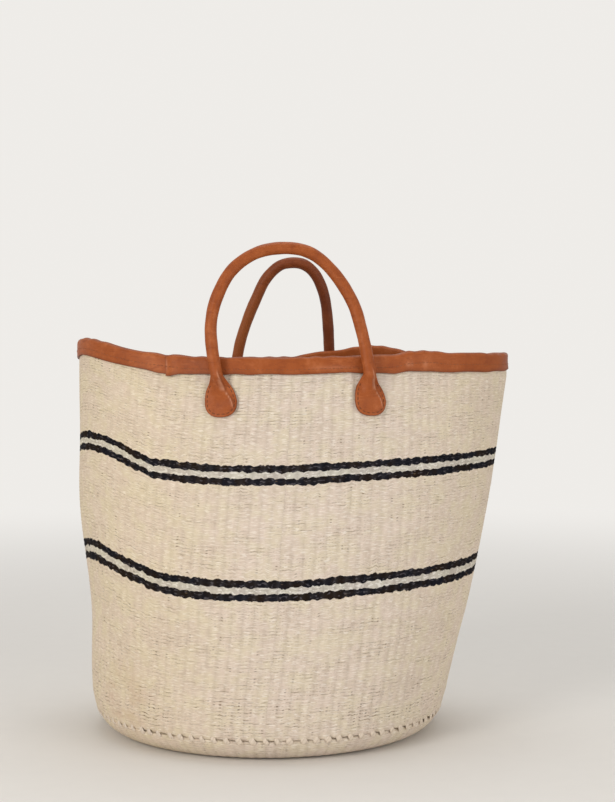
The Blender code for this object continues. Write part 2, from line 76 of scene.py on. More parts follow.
class Slot(Enum):
    """The record's material slots."""

    SISAL = "sisal"
    SISAL_CORD = "sisal_cord"
    DARK_SISAL = "dark_sisal"
    LIGHT_SISAL = "light_sisal"
    LEATHER = "tan_leather"
    STITCHING = "stitching"
    ROPE = "rope"


# Small maths


def smooth(value: Sizes, low: float, high: float) -> np.ndarray:
    """Go smoothly from 0 at low to 1 at high."""
    part = np.clip((np.asarray(value, float) - low) / (high - low), 0.0, 1.0)
    return part * part * (3.0 - 2.0 * part)


def plateau(value: Sizes, low: float, high: float, start: float, end: float) -> np.ndarray:
    """Rise smoothly from low to high, and fall again from start to end."""
    return smooth(value, low, high) * (1 - smooth(value, start, end))


def mix(low: Sizes, high: Sizes, share: Sizes) -> np.ndarray:
    """Go from one size to another by a share."""
    return low + (high - low) * np.asarray(share, float)


def bump(value: Sizes, centre: float, spread: float) -> np.ndarray:
    """Give a smooth bump, 1 at its centre."""
    return np.exp(-(((np.asarray(value, float) - centre) / spread) ** 2))


def wandering(run: Sizes, count: float, sway: float, sway_count: float) -> np.ndarray:
    """Give a sine wave along a run, whose pace wanders."""
    return np.sin(run * count + sway * np.sin(run * sway_count))


def squared(wave: Sizes, power: Sizes) -> np.ndarray:
    """Square off a circle's sine or cosine towards a box, by a power above 2."""
    return np.sign(wave) * np.abs(wave) ** (2 / power)


def wrapped(angle: Sizes) -> np.ndarray:
    """Bring angles to within half a turn of 0."""
    return (np.asarray(angle, float) + math.pi) % WHOLE_TURN - math.pi


def unit(vector: np.ndarray) -> np.ndarray:
    """Scale vectors, in the last axis, to length one."""
    return vector / np.linalg.norm(vector, axis=-1, keepdims=True)


def lengths(route: np.ndarray) -> np.ndarray:
    """Give each point's length along a route."""
    return np.concatenate(([0.0], np.cumsum(np.linalg.norm(np.diff(route, axis=0), axis=1))))


def turns_round(count: int) -> np.ndarray:
    """Give even angles once round."""
    return WHOLE_TURN * np.arange(count) / count


def along(values: object, share: Sizes, tail: float = 1.0) -> np.ndarray:
    """Read a smooth curve through values or points that stand at equal steps.

    Args:
        values: The curve's values or points.
        share: How far along the curve to read, from 0 to 1.
        tail: How far the curve seems to go on past its end, as a share of its last step.

    Returns:
        The curve's values there.
    """
    values = np.asarray(values, float)
    padded = np.concatenate((values[:1], values, values[-1:] + tail * (values[-1:] - values[-2:-1])))
    place = np.clip(np.asarray(share, float), 0.0, 1.0) * (len(values) - 1)
    index = np.minimum(place.astype(int), len(values) - 2)
    part = np.asarray(place - index).reshape(place.shape + (1,) * (values.ndim - 1))
    before, start, end, after = (padded[index + step] for step in range(4))
    square, cube = part ** 2, part ** 3
    return ((2 * cube - 3 * square + 1) * start + (cube - 2 * square + part) * (end - before) / 2
            + (3 * square - 2 * cube) * end + (cube - square) * (after - start) / 2)


# Shaders


class Wire:
    """One output socket, usable in sums: each operator adds the Math node that works it out."""

    def __init__(self, graph: "Graph", socket: bpy.types.NodeSocket) -> None:
        """Keep the graph and the socket."""
        self.graph, self.socket = graph, socket

    def math(self, operation: str, *others: "Wire | float") -> "Wire":
        """Add a Math node whose first value is this one."""
        return self.graph.math(operation, self, *others)

    def __add__(self, other: "Wire | float") -> "Wire":
        """Add."""
        return self.math("ADD", other)

    __radd__ = __add__

    def __mul__(self, other: "Wire | float") -> "Wire":
        """Multiply."""
        return self.math("MULTIPLY", other)

    __rmul__ = __mul__

    def __sub__(self, other: "Wire | float") -> "Wire":
        """Subtract the other."""
        return self.math("SUBTRACT", other)

    def __rsub__(self, other: float) -> "Wire":
        """Subtract this one from a number."""
        return self.graph.math("SUBTRACT", other, self)

    def __pow__(self, other: float) -> "Wire":
        """Raise to a power."""
        return self.math("POWER", other)

    def between(self, low: float, high: float) -> "Wire":
        """Go from low to high as this one goes from 0 to 1."""
        return self * (high - low) + low

    def ripple(self) -> "Wire":
        """Give a round ridge, 0 at whole numbers and 1 midway."""
        return (self.math("FRACT") * math.pi).math("SINE")

    def from_middle(self) -> "Wire":
        """Give 0 midway between whole numbers and 1 at each of them."""
        return (self.math("FRACT") - 0.5).math("ABSOLUTE") * 2


def weigh(wires: tuple[Wire, ...], weights: tuple[float, ...]) -> Wire:
    """Add wires up by their weights."""
    total, *others = (wire * weight for wire, weight in zip(wires, weights))
    for other in others:
        total = total + other
    return total


@dataclass(frozen=True)
class Grain:
    """How a noise looks: its scale, detail and roughness, and its stretch in each direction."""

    scale: float = 1.0
    detail: float = 2.0
    roughness: float = 0.5
    stretch: Triple | None = None


class Graph:
    """The node tree of one material or world."""

    def __init__(self, owner: bpy.types.Material | bpy.types.World) -> None:
        """Turn the owner's nodes on."""
        self.owner = owner
        owner.use_nodes = True
        self.nodes, self.links = owner.node_tree.nodes, owner.node_tree.links

    def plug(self, socket: bpy.types.NodeSocket, value: object) -> None:
        """Link a wire to a socket, or set the socket's own value."""
        if isinstance(value, Wire):
            self.links.new(value.socket, socket)
        elif isinstance(value, tuple) and socket.type == "RGBA":
            socket.default_value = (*value, 1.0)
        else:
            socket.default_value = value

    def node(self, kind: str, settings: dict[str, object] | None = None,
             sockets: dict[str | int, object] | None = None, output: str | int = 0) -> Wire:
        """Add a node.

        Args:
            kind: The node's type.
            settings: Its settings, set before its sockets.
            sockets: The values or wires of its inputs, by name or number.
            output: The output to hand back.

        Returns:
            That output.
        """
        made = self.nodes.new(kind)
        for key, value in (settings or {}).items():
            setattr(made, key, value)
        for key, value in (sockets or {}).items():
            self.plug(made.inputs[key], value)
        return Wire(self, made.outputs[output])

    def math(self, operation: str, *values: "Wire | float") -> Wire:
        """Add a Math node."""
        return self.node("ShaderNodeMath", {"operation": operation}, dict(enumerate(values)))

    def vector(self, operation: str, *values: object, output: str = "Vector") -> Wire:
        """Add a Vector Math node."""
        return self.node("ShaderNodeVectorMath", {"operation": operation}, dict(enumerate(values)), output)

    def part(self, vector: Wire, index: int) -> Wire:
        """Give one part of a vector."""
        return self.node("ShaderNodeSeparateXYZ", None, {0: vector}, index)

    def colour(self, first: object, second: object, share: object, blend: str = "MIX") -> Wire:
        """Mix two colours by a share."""
        return self.node("ShaderNodeMix", {"data_type": "RGBA", "blend_type": blend, "clamp_result": False},
                         {0: share, 6: first, 7: second}, 2)

    def noise(self, vector: Wire, grain: Grain) -> Wire:
        """Add a noise texture and hand back its value."""
        if grain.stretch:
            vector = self.vector("MULTIPLY", vector, grain.stretch)
        sockets = {"Vector": vector, "Scale": grain.scale, "Detail": grain.detail, "Roughness": grain.roughness}
        return self.node("ShaderNodeTexNoise", None, sockets, "Fac")

    def step(self, value: Wire, low: float, high: float) -> Wire:
        """Go smoothly from 0 at low to 1 at high."""
        return self.node("ShaderNodeMapRange", {"interpolation_type": "SMOOTHSTEP"},
                         {"Value": value, "From Min": low, "From Max": high}, "Result")

    def layer(self, base: object, tint: Colour, pattern: Wire, low: float, high: float, strength: float) -> Wire:
        """Lay a tint on a colour where a pattern goes from low to high."""
        return self.colour(base, tint, self.step(pattern, low, high) * strength)

    def attribute(self, name: str, output: str = "Fac") -> Wire:
        """Read a mesh attribute."""
        return self.node("ShaderNodeAttribute", {"attribute_name": name}, None, output)

    def place(self) -> Wire:
        """Read the object's own coordinates."""
        return self.node("ShaderNodeTexCoord", None, None, "Object")

    def finish(self, base: object, roughness: object, specular: float = 0.5, height: Wire | None = None,
               depth: float = 0.0) -> bpy.types.Material:
        """Set the shader.

        Args:
            base: The base colour.
            roughness: The roughness.
            specular: The strength of the gloss.
            height: The height of the surface's fine relief.
            depth: The relief's depth in metres.

        Returns:
            The finished material.
        """
        inputs = self.nodes["Principled BSDF"].inputs
        for name, value in (("Base Color", base), ("Roughness", roughness), ("Specular IOR Level", specular)):
            self.plug(inputs[name], value)
        if height is not None:
            normal = self.node("ShaderNodeBump", None, {"Height": height, "Distance": depth}, "Normal")
            self.plug(inputs["Normal"], normal)
        return self.owner


# Finishes


@dataclass(frozen=True)
class Finish:
    """What every finish has: its own name, and the record's slot that its pieces belong to."""

    name: str
    slot: Slot

    def graph(self) -> Graph:
        """Start the finish's material."""
        return Graph(bpy.data.materials.new(self.name))


@dataclass(frozen=True)
class SisalFinish(Finish):
    """Twined sisal: stitches with their own tones and fine fibres along them, with a gap colour between.

    A pair of ends says where a pattern starts and where it is full. A layer has those two and its
    strength. The gap colour is painted shade in the gaps between rows, at the rib edges, in the pits
    and in the seam's slots; on the dark rows it is paler than the strands. The hole colour is painted
    shade in small holes, and both ends of the basket get painted shade, yellower and a little darker.
    """

    pale: Colour
    deep: Colour
    patch: Colour
    # Painted shade colour for the row gaps, rib edges, pits and seam slots; on the dark rows it is paler than the
    # strands.
    gap: Colour
    fleck: Colour
    fleck_start: float
    gap_strength: float
    fleck_grain: Grain = Grain(1.5, 1.0, 0.5, (0.53, 3.0, 1.0))
    fleck_softness: float = 0.06
    fleck_strength: float = 0.55
    specular: float = 0.3
    roughness: float = 0.88
    stitches_per_rib: float = 1.75
    wobble: Grain = Grain(stretch=(0.45, 0.20, 1.0))
    wobble_row: float = 0.4
    wobble_rib: float = 0.3
    wobble_stitch: float = 1.2
    fibres: Grain = Grain(1.0, 3.0, 0.65, (0.9, 8.0, 1.0))
    streaks: Grain = Grain(1.0, 2.0, 0.6, (1.5, 0.17, 1.0))
    clouds: Grain = Grain(1.0, 3.0, 0.65, (0.10, 0.16, 1.0))
    tone_weights: Triple = (0.44, 0.42, 0.48)
    tone_ends: Ends = (0.39, 0.95)
    drift: Grain = Grain(1.3, 3.0, 0.6, (0.19, 0.10, 1.0))
    patch_layer: Triple = (0.40, 0.64, 0.85)
    zone: Grain = Grain(1.7, 2.0, 0.6, (0.07, 0.13, 1.0))
    zone_ends: Ends = (0.42, 0.62)
    dash: Grain = Grain(1.9, 2.0, 0.5, (0.30, 1.0, 1.0))
    dash_ends: Ends = (0.53, 0.60)
    open_top: Ends = (0.078, 0.058)
    open_foot: Ends = (0.030, 0.040)
    gap_ends: Ends = (0.70, 0.97)
    gap_zone: Ends = (0.25, 0.90)
    gap_low: float = 0.5
    slack_centre: float = 0.02
    slack_ends: Ends = (0.19, 0.05)
    rib_strength: float = 0.30
    rib_slack: Ends = (0.35, 1.0)
    rib_zone: Ends = (0.6, 1.0)
    pit_stitch: Ends = (0.50, 0.95)
    pit_row: Ends = (0.40, 0.90)
    pit_zone: Ends = (0.1, 0.6)
    # Painted shade in small holes.
    hole: Colour = (0.17, 0.115, 0.07)
    hole_chance: Ends = (0.975, 0.985)
    low_hole_chance: Ends = (0.72, 0.78)
    hole_zone: Ends = (0.2, 1.0)
    hole_row: Ends = (0.35, 0.8)
    hole_stitch: Ends = (0.5, 0.15)
    hole_strength: float = 0.8
    stain: Colour = (0.46, 0.27, 0.15)
    stain_place: Triple = (-0.135, -0.110, 0.052)
    stain_reach: Ends = (0.055, 0.015)
    stain_clouds: Ends = (0.42, 0.60)
    stain_strength: float = 0.28
    # Painted shade: the basket's ends are tinted yellower and a little darker.
    end_shade: Colour = (1.01, 0.985, 0.90)
    end_shade_left: Ends = (0.02, -0.15)
    end_shade_right: Ends = (0.10, 0.24)
    end_shade_right_strength: float = 0.5
    ply_slant: float = 0.7
    pillow_dashes: Ends = (0.4, 1.0)
    relief_weights: tuple[float, ...] = (0.42, 0.10, 0.40, 0.45, -0.4)
    stitch_depth: float = 0.0006

    @cache
    def material(self) -> bpy.types.Material:
        """Build the material, which reads a mesh's weave and tone attributes.

        Returns:
            The material, the same one at each call.
        """
        graph = self.graph()
        step, place, marks = graph.step, graph.place(), graph.attribute("weave", "Vector")
        rib, row, across, up = (graph.part(*pair) for pair in ((marks, 0), (marks, 1), (place, 0), (place, 2)))
        stitch = rib * self.stitches_per_rib
        weave = graph.vector("MULTIPLY", marks, (self.stitches_per_rib, 1.0, 1.0))
        fibres, streaks, clouds, drift, zone, dash, wobble, flecks = (graph.noise(weave, grain) for grain in (
            self.fibres, self.streaks, self.clouds, self.drift, self.zone, self.dash, self.wobble, self.fleck_grain))
        zone, dashes, wobble = step(zone, *self.zone_ends), step(dash, *self.dash_ends), wobble - 0.5
        chance = graph.node("ShaderNodeTexWhiteNoise", {"noise_dimensions": "3D"},
                            {"Vector": graph.vector("FLOOR", weave)}, "Value")
        slack = step((across - self.slack_centre).math("ABSOLUTE"), *self.slack_ends)
        low = step(up, *self.open_top) * step(up, *self.open_foot)
        row_edge = (row + wobble * self.wobble_row).from_middle()
        rib_edge = (rib + wobble * self.wobble_rib).from_middle()
        brick = (row.math("FLOOR") * 0.5).math("FRACT")
        stitch_edge = (stitch + brick + wobble * self.wobble_stitch).from_middle()
        # Painted shade: the gap colour goes into the gaps between rows, the rib edges and the pits.
        gaps = step(row_edge, *self.gap_ends) * dashes * (zone.between(*self.gap_zone) + low * self.gap_low)
        ribs = rib_edge ** 2 * slack.between(*self.rib_slack) * zone.between(*self.rib_zone) * self.rib_strength
        pits = step(stitch_edge, *self.pit_stitch) * step(row_edge, *self.pit_row) * zone.between(*self.pit_zone)
        # Painted shade in small holes, more of them low on the wall.
        holes = low * step(chance, *self.low_hole_chance) * zone.between(*self.hole_zone)
        holes = (step(chance, *self.hole_chance) + holes) * step(row_edge, *self.hole_row)
        holes = (holes * step(stitch.from_middle(), *self.hole_stitch)).math("MINIMUM", 1.0)
        tone = step(weigh((fibres, streaks, clouds), self.tone_weights), *self.tone_ends)
        base = graph.layer(graph.colour(self.deep, self.pale, tone), self.patch, drift, *self.patch_layer)
        distance = graph.vector("DISTANCE", place, self.stain_place, output="Value")
        stains = step(distance, *self.stain_reach) * step(clouds, *self.stain_clouds)
        fleck_end = self.fleck_start + self.fleck_softness
        for tint, share in ((self.gap, gaps.math("MAXIMUM", ribs).math("MAXIMUM", pits) * self.gap_strength),
                            (self.hole, holes * self.hole_strength),
                            (self.fleck, step(flecks, self.fleck_start, fleck_end) * self.fleck_strength),
                            (self.stain, stains * self.stain_strength)):
            base = graph.colour(base, tint, share)
        # Painted shade: yellower and a little darker towards both ends.
        end_shade = step(across, *self.end_shade_left) + step(across, *self.end_shade_right) * self.end_shade_right_strength
        base = graph.colour(base, self.end_shade, end_shade.math("MINIMUM", 1.0), "MULTIPLY")
        # Painted shade in the foot seam's slots, from the tone attribute.
        base = graph.colour(self.gap, base, graph.attribute("tone"))
        ply = (row * 2 + stitch * self.ply_slant).ripple()
        pillow = 1 - row_edge ** 3 * dashes.between(*self.pillow_dashes)
        height = weigh((pillow, ply, fibres, streaks, pits), self.relief_weights)
        return graph.finish(base, self.roughness, self.specular, height, self.stitch_depth)


@dataclass(frozen=True)
class LeatherFinish(Finish):
    """Tan leather: fine grain, cloudy colour, soft creases, darker cut edges with painted shade, and rubbed wear with
    painted highlights.

    Each layer says where its pattern starts, where it is full, and its strength.
    """

    main: Colour
    pale: Colour
    dark: Colour
    # Colour of the cut edges and of painted shade, mixed in by the tone attribute.
    edge: Colour
    # Colour of rubbed wear and painted highlights, mixed in by the wear_and_highlight attribute.
    wear_and_highlight_colour: Colour
    clouds: Grain = Grain(30.0, 4.0, 0.65)
    mottle: Grain = Grain(85.0, 4.0, 0.65)
    spots: Grain = Grain(330.0, 3.0, 0.6)
    creases: Grain = Grain(1.0, 3.0, 0.6, (60.0, 60.0, 420.0))
    pore_scale: float = 900.0
    blotch_weights: Ends = (0.55, 0.45)
    main_ends: Ends = (0.38, 0.52)
    main_shares: Ends = (0.5, 1.0)
    blotch_layer: Triple = (0.50, 0.66, 0.85)
    spot_layer: Triple = (0.58, 0.70, 0.35)
    crease_top: Triple = (0.60, 0.70, 0.55)
    crease_floor: Triple = (0.40, 0.31, 0.55)
    roughness: Ends = (0.32, 0.62)
    specular: float = 0.18
    relief_weights: FourPlaces = (0.35, 0.45, 0.6, 0.5)
    grain_depth: float = 0.0004

    @cache
    def material(self) -> bpy.types.Material:
        """Build the material, which reads a mesh's tone attribute, with its painted shade, and its wear_and_highlight
        attribute.

        Returns:
            The material, the same one at each call.
        """
        graph = self.graph()
        place = graph.place()
        clouds, mottle, spots, creases = (
            graph.noise(place, grain) for grain in (self.clouds, self.mottle, self.spots, self.creases))
        pores = graph.node("ShaderNodeTexVoronoi", {"feature": "SMOOTH_F1"},
                           {"Vector": place, "Scale": self.pore_scale, "Smoothness": 0.5}, "Distance")
        blotches = weigh((clouds, mottle), self.blotch_weights)
        main = graph.step(blotches, *self.main_ends).between(*self.main_shares)
        base = graph.colour(self.dark, self.main, main)
        for tint, pattern, layer in ((self.pale, blotches, self.blotch_layer), (self.dark, spots, self.spot_layer),
                                     (self.pale, creases, self.crease_top), (self.dark, creases, self.crease_floor)):
            base = graph.layer(base, tint, pattern, *layer)
        # Darker cut edges and painted shade, then rubbed wear and painted highlights.
        base = graph.colour(self.edge, base, graph.attribute("tone"))
        base = graph.colour(base, self.wear_and_highlight_colour, graph.attribute("wear_and_highlight"))
        height = weigh((pores, spots, mottle, creases), self.relief_weights)
        return graph.finish(base, mottle.between(*self.roughness), self.specular, height, self.grain_depth)


@dataclass(frozen=True)
class CordFinish(Finish):
    """Twisted thread or cord: slanted plies along its run."""

    light: Colour
    dark: Colour
    plies: float
    depth: float
    roughness: float = 0.75
    specular: float = 0.2
    fuzz: Grain = Grain(700.0, 2.0, 0.6)
    tone_weights: Ends = (0.6, 0.6)
    tone_ends: Ends = (0.1, 0.8)
    relief_weights: Ends = (0.7, 0.5)

    @cache
    def material(self) -> bpy.types.Material:
        """Build the material, which reads a strand's weave and tone attributes.

        Returns:
            The material, the same one at each call.
        """
        graph = self.graph()
        marks, fuzz = graph.attribute("weave", "Vector"), graph.noise(graph.place(), self.fuzz)
        ply = (graph.part(marks, 0) * 2 + graph.part(marks, 1) * self.plies).ripple()
        tone = graph.step(weigh((ply, fuzz), self.tone_weights), *self.tone_ends)
        # The tone attribute darkens the thread; on the tabs' stitches it holds painted shade at their ends.
        base = graph.colour(self.dark, graph.colour(self.dark, self.light, tone), graph.attribute("tone"))
        height = weigh((ply, fuzz), self.relief_weights)
        return graph.finish(base, self.roughness, self.specular, height, self.depth)


STRIPE_FLECKS = Grain(1.5, 1.0, 0.5, (0.8, 1.0, 1.0))
SISAL = SisalFinish("sisal", Slot.SISAL, pale=(0.775, 0.650, 0.560), deep=(0.635, 0.530, 0.430),
                    patch=(0.725, 0.632, 0.480), gap=(0.26, 0.19, 0.125), fleck=(0.94, 0.87, 0.79),
                    fleck_start=0.56, gap_strength=0.88)
DARK_SISAL = SisalFinish("dark_sisal", Slot.DARK_SISAL, pale=(0.016, 0.017, 0.026), deep=(0.002, 0.002, 0.003),
                         patch=(0.020, 0.012, 0.007), gap=(0.075, 0.070, 0.078), fleck=(0.12, 0.11, 0.125),
                         fleck_start=0.60, gap_strength=0.5, fleck_grain=STRIPE_FLECKS, specular=0.03,
                         rib_strength=0.6)
LIGHT_SISAL = SisalFinish("light_sisal", Slot.LIGHT_SISAL, pale=(0.72, 0.66, 0.60), deep=(0.42, 0.375, 0.33),
                          patch=(0.64, 0.61, 0.52), gap=(0.22, 0.19, 0.17), fleck=(0.88, 0.85, 0.80),
                          fleck_start=0.55, gap_strength=0.6, fleck_grain=STRIPE_FLECKS, rib_strength=0.7)
LEATHER = LeatherFinish("tan_leather", Slot.LEATHER, main=(0.345, 0.085, 0.0195), pale=(0.455, 0.135, 0.043),
                        dark=(0.225, 0.048, 0.012), edge=(0.085, 0.022, 0.009), wear_and_highlight_colour=(0.60, 0.28, 0.17))
# A darker copy of the leather for the rear handle: painted shade.
SHADED_LEATHER = LeatherFinish("shaded_tan_leather", Slot.LEATHER, main=(0.195, 0.046, 0.013),
                               pale=(0.265, 0.073, 0.024), dark=(0.130, 0.027, 0.009),
                               edge=(0.055, 0.013, 0.006), wear_and_highlight_colour=(0.42, 0.135, 0.040))
THREAD = CordFinish("waxed_thread", Slot.STITCHING, light=(0.34, 0.115, 0.045), dark=(0.09, 0.028, 0.012),
                    plies=0.5, depth=0.0002)
SISAL_CORD = CordFinish("sisal_cord", Slot.SISAL_CORD, light=(0.74, 0.635, 0.525), dark=(0.60, 0.50, 0.395),
                        plies=0.45, depth=0.0003, roughness=0.88)
ROPE = CordFinish("sisal_rope", Slot.ROPE, light=(0.62, 0.50, 0.34), dark=(0.40, 0.30, 0.18), plies=0.4,
                  depth=0.0008, roughness=0.9)


# Meshes


def closed(grid: np.ndarray) -> np.ndarray:
    """Repeat a grid's first column at its end."""
    return np.concatenate((grid, grid[:, :1]), 1)


def cells(grid: np.ndarray) -> np.ndarray:
    """Give the four corners of each cell of a grid."""
    return np.stack((grid[:-1, :-1], grid[:-1, 1:], grid[1:, 1:], grid[1:, :-1]), 2)


def weave_marks(ribs: np.ndarray, rows: np.ndarray) -> np.ndarray:
    """Give the weave coordinates of a grid, by row and rib."""
    return np.stack(np.meshgrid(ribs, rows), -1)


def strand_rings(points: np.ndarray, normals: np.ndarray, widths: Sizes, heights: Sizes,
                 sides: int) -> np.ndarray:
    """Give the rings of a strand with an oval section.

    Args:
        points: The strand's middle line.
        normals: The directions of the section's height.
        widths: Half of the section's width, at each point or at all.
        heights: Half of the section's height, at each point or at all.
        sides: The number of points round the section.

    Returns:
        The rings, by point and place round.
    """
    tangents = unit(np.gradient(points, axis=0))
    across = unit(np.cross(tangents, normals))
    up = unit(np.cross(across, tangents))
    rings = points[:, None]
    for way, size, wave in ((across, widths, np.cos), (up, heights, np.sin)):
        reach = np.broadcast_to(size, len(points))[:, None] * wave(turns_round(sides))
        rings = rings + way[:, None] * reach[..., None]
    return rings


def signed_volume(mesh: bpy.types.Mesh) -> float:
    """Give the volume of a closed mesh, below zero where its faces look inwards."""
    mesh.calc_loop_triangles()
    corners = np.empty(len(mesh.loop_triangles) * 3, dtype=np.int32)
    mesh.loop_triangles.foreach_get("vertices", corners)
    points = np.empty(len(mesh.vertices) * 3)
    mesh.vertices.foreach_get("co", points)
    faces = points.reshape(-1, 3)[corners.reshape(-1, 3)]
    return float(np.einsum("ij,ij->i", faces[:, 0], np.cross(faces[:, 1], faces[:, 2])).sum() / 6)


class MeshDraft:
    """Collects grids of points and joins them into one closed mesh.

    Each face corner has weave coordinates: how many ribs along and how many rows up it lies.
    Each point has a tone, 1 where the piece has its own colour and 0 at its darkest, which holds dark cut edges
    and painted shade, and a wear_and_highlight, 1 where it is palest, which holds rubbed wear and painted highlights.
    """

    strand_mark = 0.002

    def __init__(self) -> None:
        """Start with no points and no faces."""
        self.points: list[np.ndarray] = []
        self.looks: dict[str, list[np.ndarray]] = {"tone": [], "wear_and_highlight": []}
        self.faces: list[list[int]] = []
        self.weave: list[np.ndarray] = []
        self.count = 0

    def add_points(self, points: np.ndarray, tone: Sizes = 1.0, wear_and_highlight: Sizes = 0.0) -> np.ndarray:
        """Add points.

        Args:
            points: An array of points whose last axis is x, y and z.
            tone: The tone of the points.
            wear_and_highlight: The rubbed wear and painted highlight of the points.

        Returns:
            The points' numbers, in the array's shape.
        """
        shape = points.shape[:-1]
        self.points.append(points.reshape(-1, 3))
        for name, value in (("tone", tone), ("wear_and_highlight", wear_and_highlight)):
            self.looks[name].append(np.broadcast_to(value, shape).reshape(-1).astype(float))
        numbers = self.count + np.arange(math.prod(shape)).reshape(shape)
        self.count += numbers.size
        return numbers

    def add_faces(self, corners: np.ndarray, weave: np.ndarray, is_turned: bool = False) -> None:
        """Add faces of one number of corners, turned over if need be.

        Args:
            corners: The numbers of each face's corners.
            weave: The weave coordinates of each corner.
            is_turned: Whether the corners go the other way round.
        """
        way = -1 if is_turned else 1
        self.faces.extend(corners[:, ::way].tolist())
        self.weave.append(weave[:, ::way].reshape(-1, 2))

    def add_grid(self, numbers: np.ndarray, weave: np.ndarray, faces_out: bool = False) -> None:
        """Join a grid of points with quads.

        Args:
            numbers: The points' numbers, by row and column.
            weave: The weave coordinates, in the same grid.
            faces_out: Whether the faces look away from the basket's middle.
        """
        self.add_faces(cells(numbers).reshape(-1, 4), cells(weave).reshape(-1, 4, 2), faces_out)

    def join_rings(self, outer: np.ndarray, inner: np.ndarray, weave: np.ndarray, is_top: bool) -> None:
        """Join an outer ring to an inner ring that has half as many points.

        Args:
            outer: The outer ring's numbers, with the first one repeated at the end.
            inner: The inner ring's numbers, with the first one repeated at the end.
            weave: The outer ring's weave coordinates.
            is_top: Whether the rings are the upper edge of the piece.
        """
        first, middle, last = slice(None, -2, 2), slice(1, -1, 2), slice(2, None, 2)
        self.add_faces(np.stack((outer[first], outer[middle], inner[:-1]), -1),
                       np.stack((weave[first], weave[middle], weave[first]), -2), is_top)
        self.add_faces(np.stack((outer[middle], outer[last], inner[1:], inner[:-1]), -1),
                       np.stack((weave[middle], weave[last], weave[last], weave[first]), -2), is_top)

    def add_tube(self, rings: np.ndarray, weave: np.ndarray | None = None, tone: Sizes = 1.0,
                 wear_and_highlight: Sizes = 0.0) -> None:
        """Join rings into a tube that is closed at both ends.

        Args:
            rings: The tube's points, by ring and place round the ring.
            weave: The weave coordinates, by ring and place round, with the first place repeated.
            tone: The tone of the points.
            wear_and_highlight: The rubbed wear and painted highlight of the points.
        """
        count, sides = rings.shape[:2]
        numbers = closed(self.add_points(rings, tone, wear_and_highlight))
        if weave is None:
            weave = weave_marks(np.linspace(0, 1, sides + 1), np.arange(count))
        self.add_grid(numbers, weave)
        for end in (0, -1):
            cut_end_and_shade_tone = np.broadcast_to(tone, (count, sides))[end].mean()
            centre = self.add_points(rings[end].mean(axis=0)[None], cut_end_and_shade_tone)[0]
            self.add_faces(np.stack((numbers[end, 1:], numbers[end, :-1], np.full(sides, centre)), -1),
                           np.stack((weave[end, 1:], weave[end, :-1], weave[end, :-1]), -2), end < 0)

    def add_strand(self, points: np.ndarray, normals: np.ndarray, widths: np.ndarray, heights: np.ndarray,
                   sides: int, number: int, tone: Sizes = 1.0) -> None:
        """Add one closed strand.

        Args:
            points: The strand's middle line.
            normals: The directions of the section's height.
            widths: Half of the section's width at each point.
            heights: Half of the section's height at each point.
            sides: The number of points round the section.
            number: The strand's number, which sets its coordinates apart from other strands'.
            tone: The strand's tone.
        """
        runs = number + lengths(points) / self.strand_mark
        self.add_tube(strand_rings(points, normals, widths, heights, sides),
                      weave_marks(np.linspace(0, 1, sides + 1), runs), tone)

    def build(self, name: str, finish: Finish) -> bpy.types.Object:
        """Make the object.

        Args:
            name: The piece's name.
            finish: Its finish.

        Returns:
            The new object, linked to the scene.
        """
        mesh = bpy.data.meshes.new(name)
        mesh.from_pydata(np.concatenate(self.points).tolist(), [], self.faces)
        layer = mesh.uv_layers.new(name="weave")
        layer.data.foreach_set("uv", np.concatenate(self.weave).astype(np.float32).ravel())
        for label, values in self.looks.items():
            layer = mesh.attributes.new(label, "FLOAT", "POINT")
            layer.data.foreach_set("value", np.concatenate(values).astype(np.float32))
        mesh.update()
        mesh.shade_smooth()
        mesh.set_sharp_from_angle(angle=SHARP_ANGLE)
        if signed_volume(mesh) < 0:
            mesh.flip_normals()
        mesh.materials.append(finish.material())
        item = bpy.data.objects.new(name, mesh)
        bpy.context.scene.collection.objects.link(item)
        LOG.info("%s: %d points, %d faces", name, len(mesh.vertices), len(mesh.polygons))
        return item

    def fit(self, name: str, finish: Finish, node: str = "", body: str = BASKET) -> None:
        """Make the object and fit it to the frame.

        Args:
            name: The piece's name.
            finish: Its finish.
            node: The CAD node that it stands for, if there is one.
            body: The body that it rides on.
        """
        piece = self.build(name, finish)
        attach(piece, body)
        if node:
            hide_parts(node)


# The basket's form


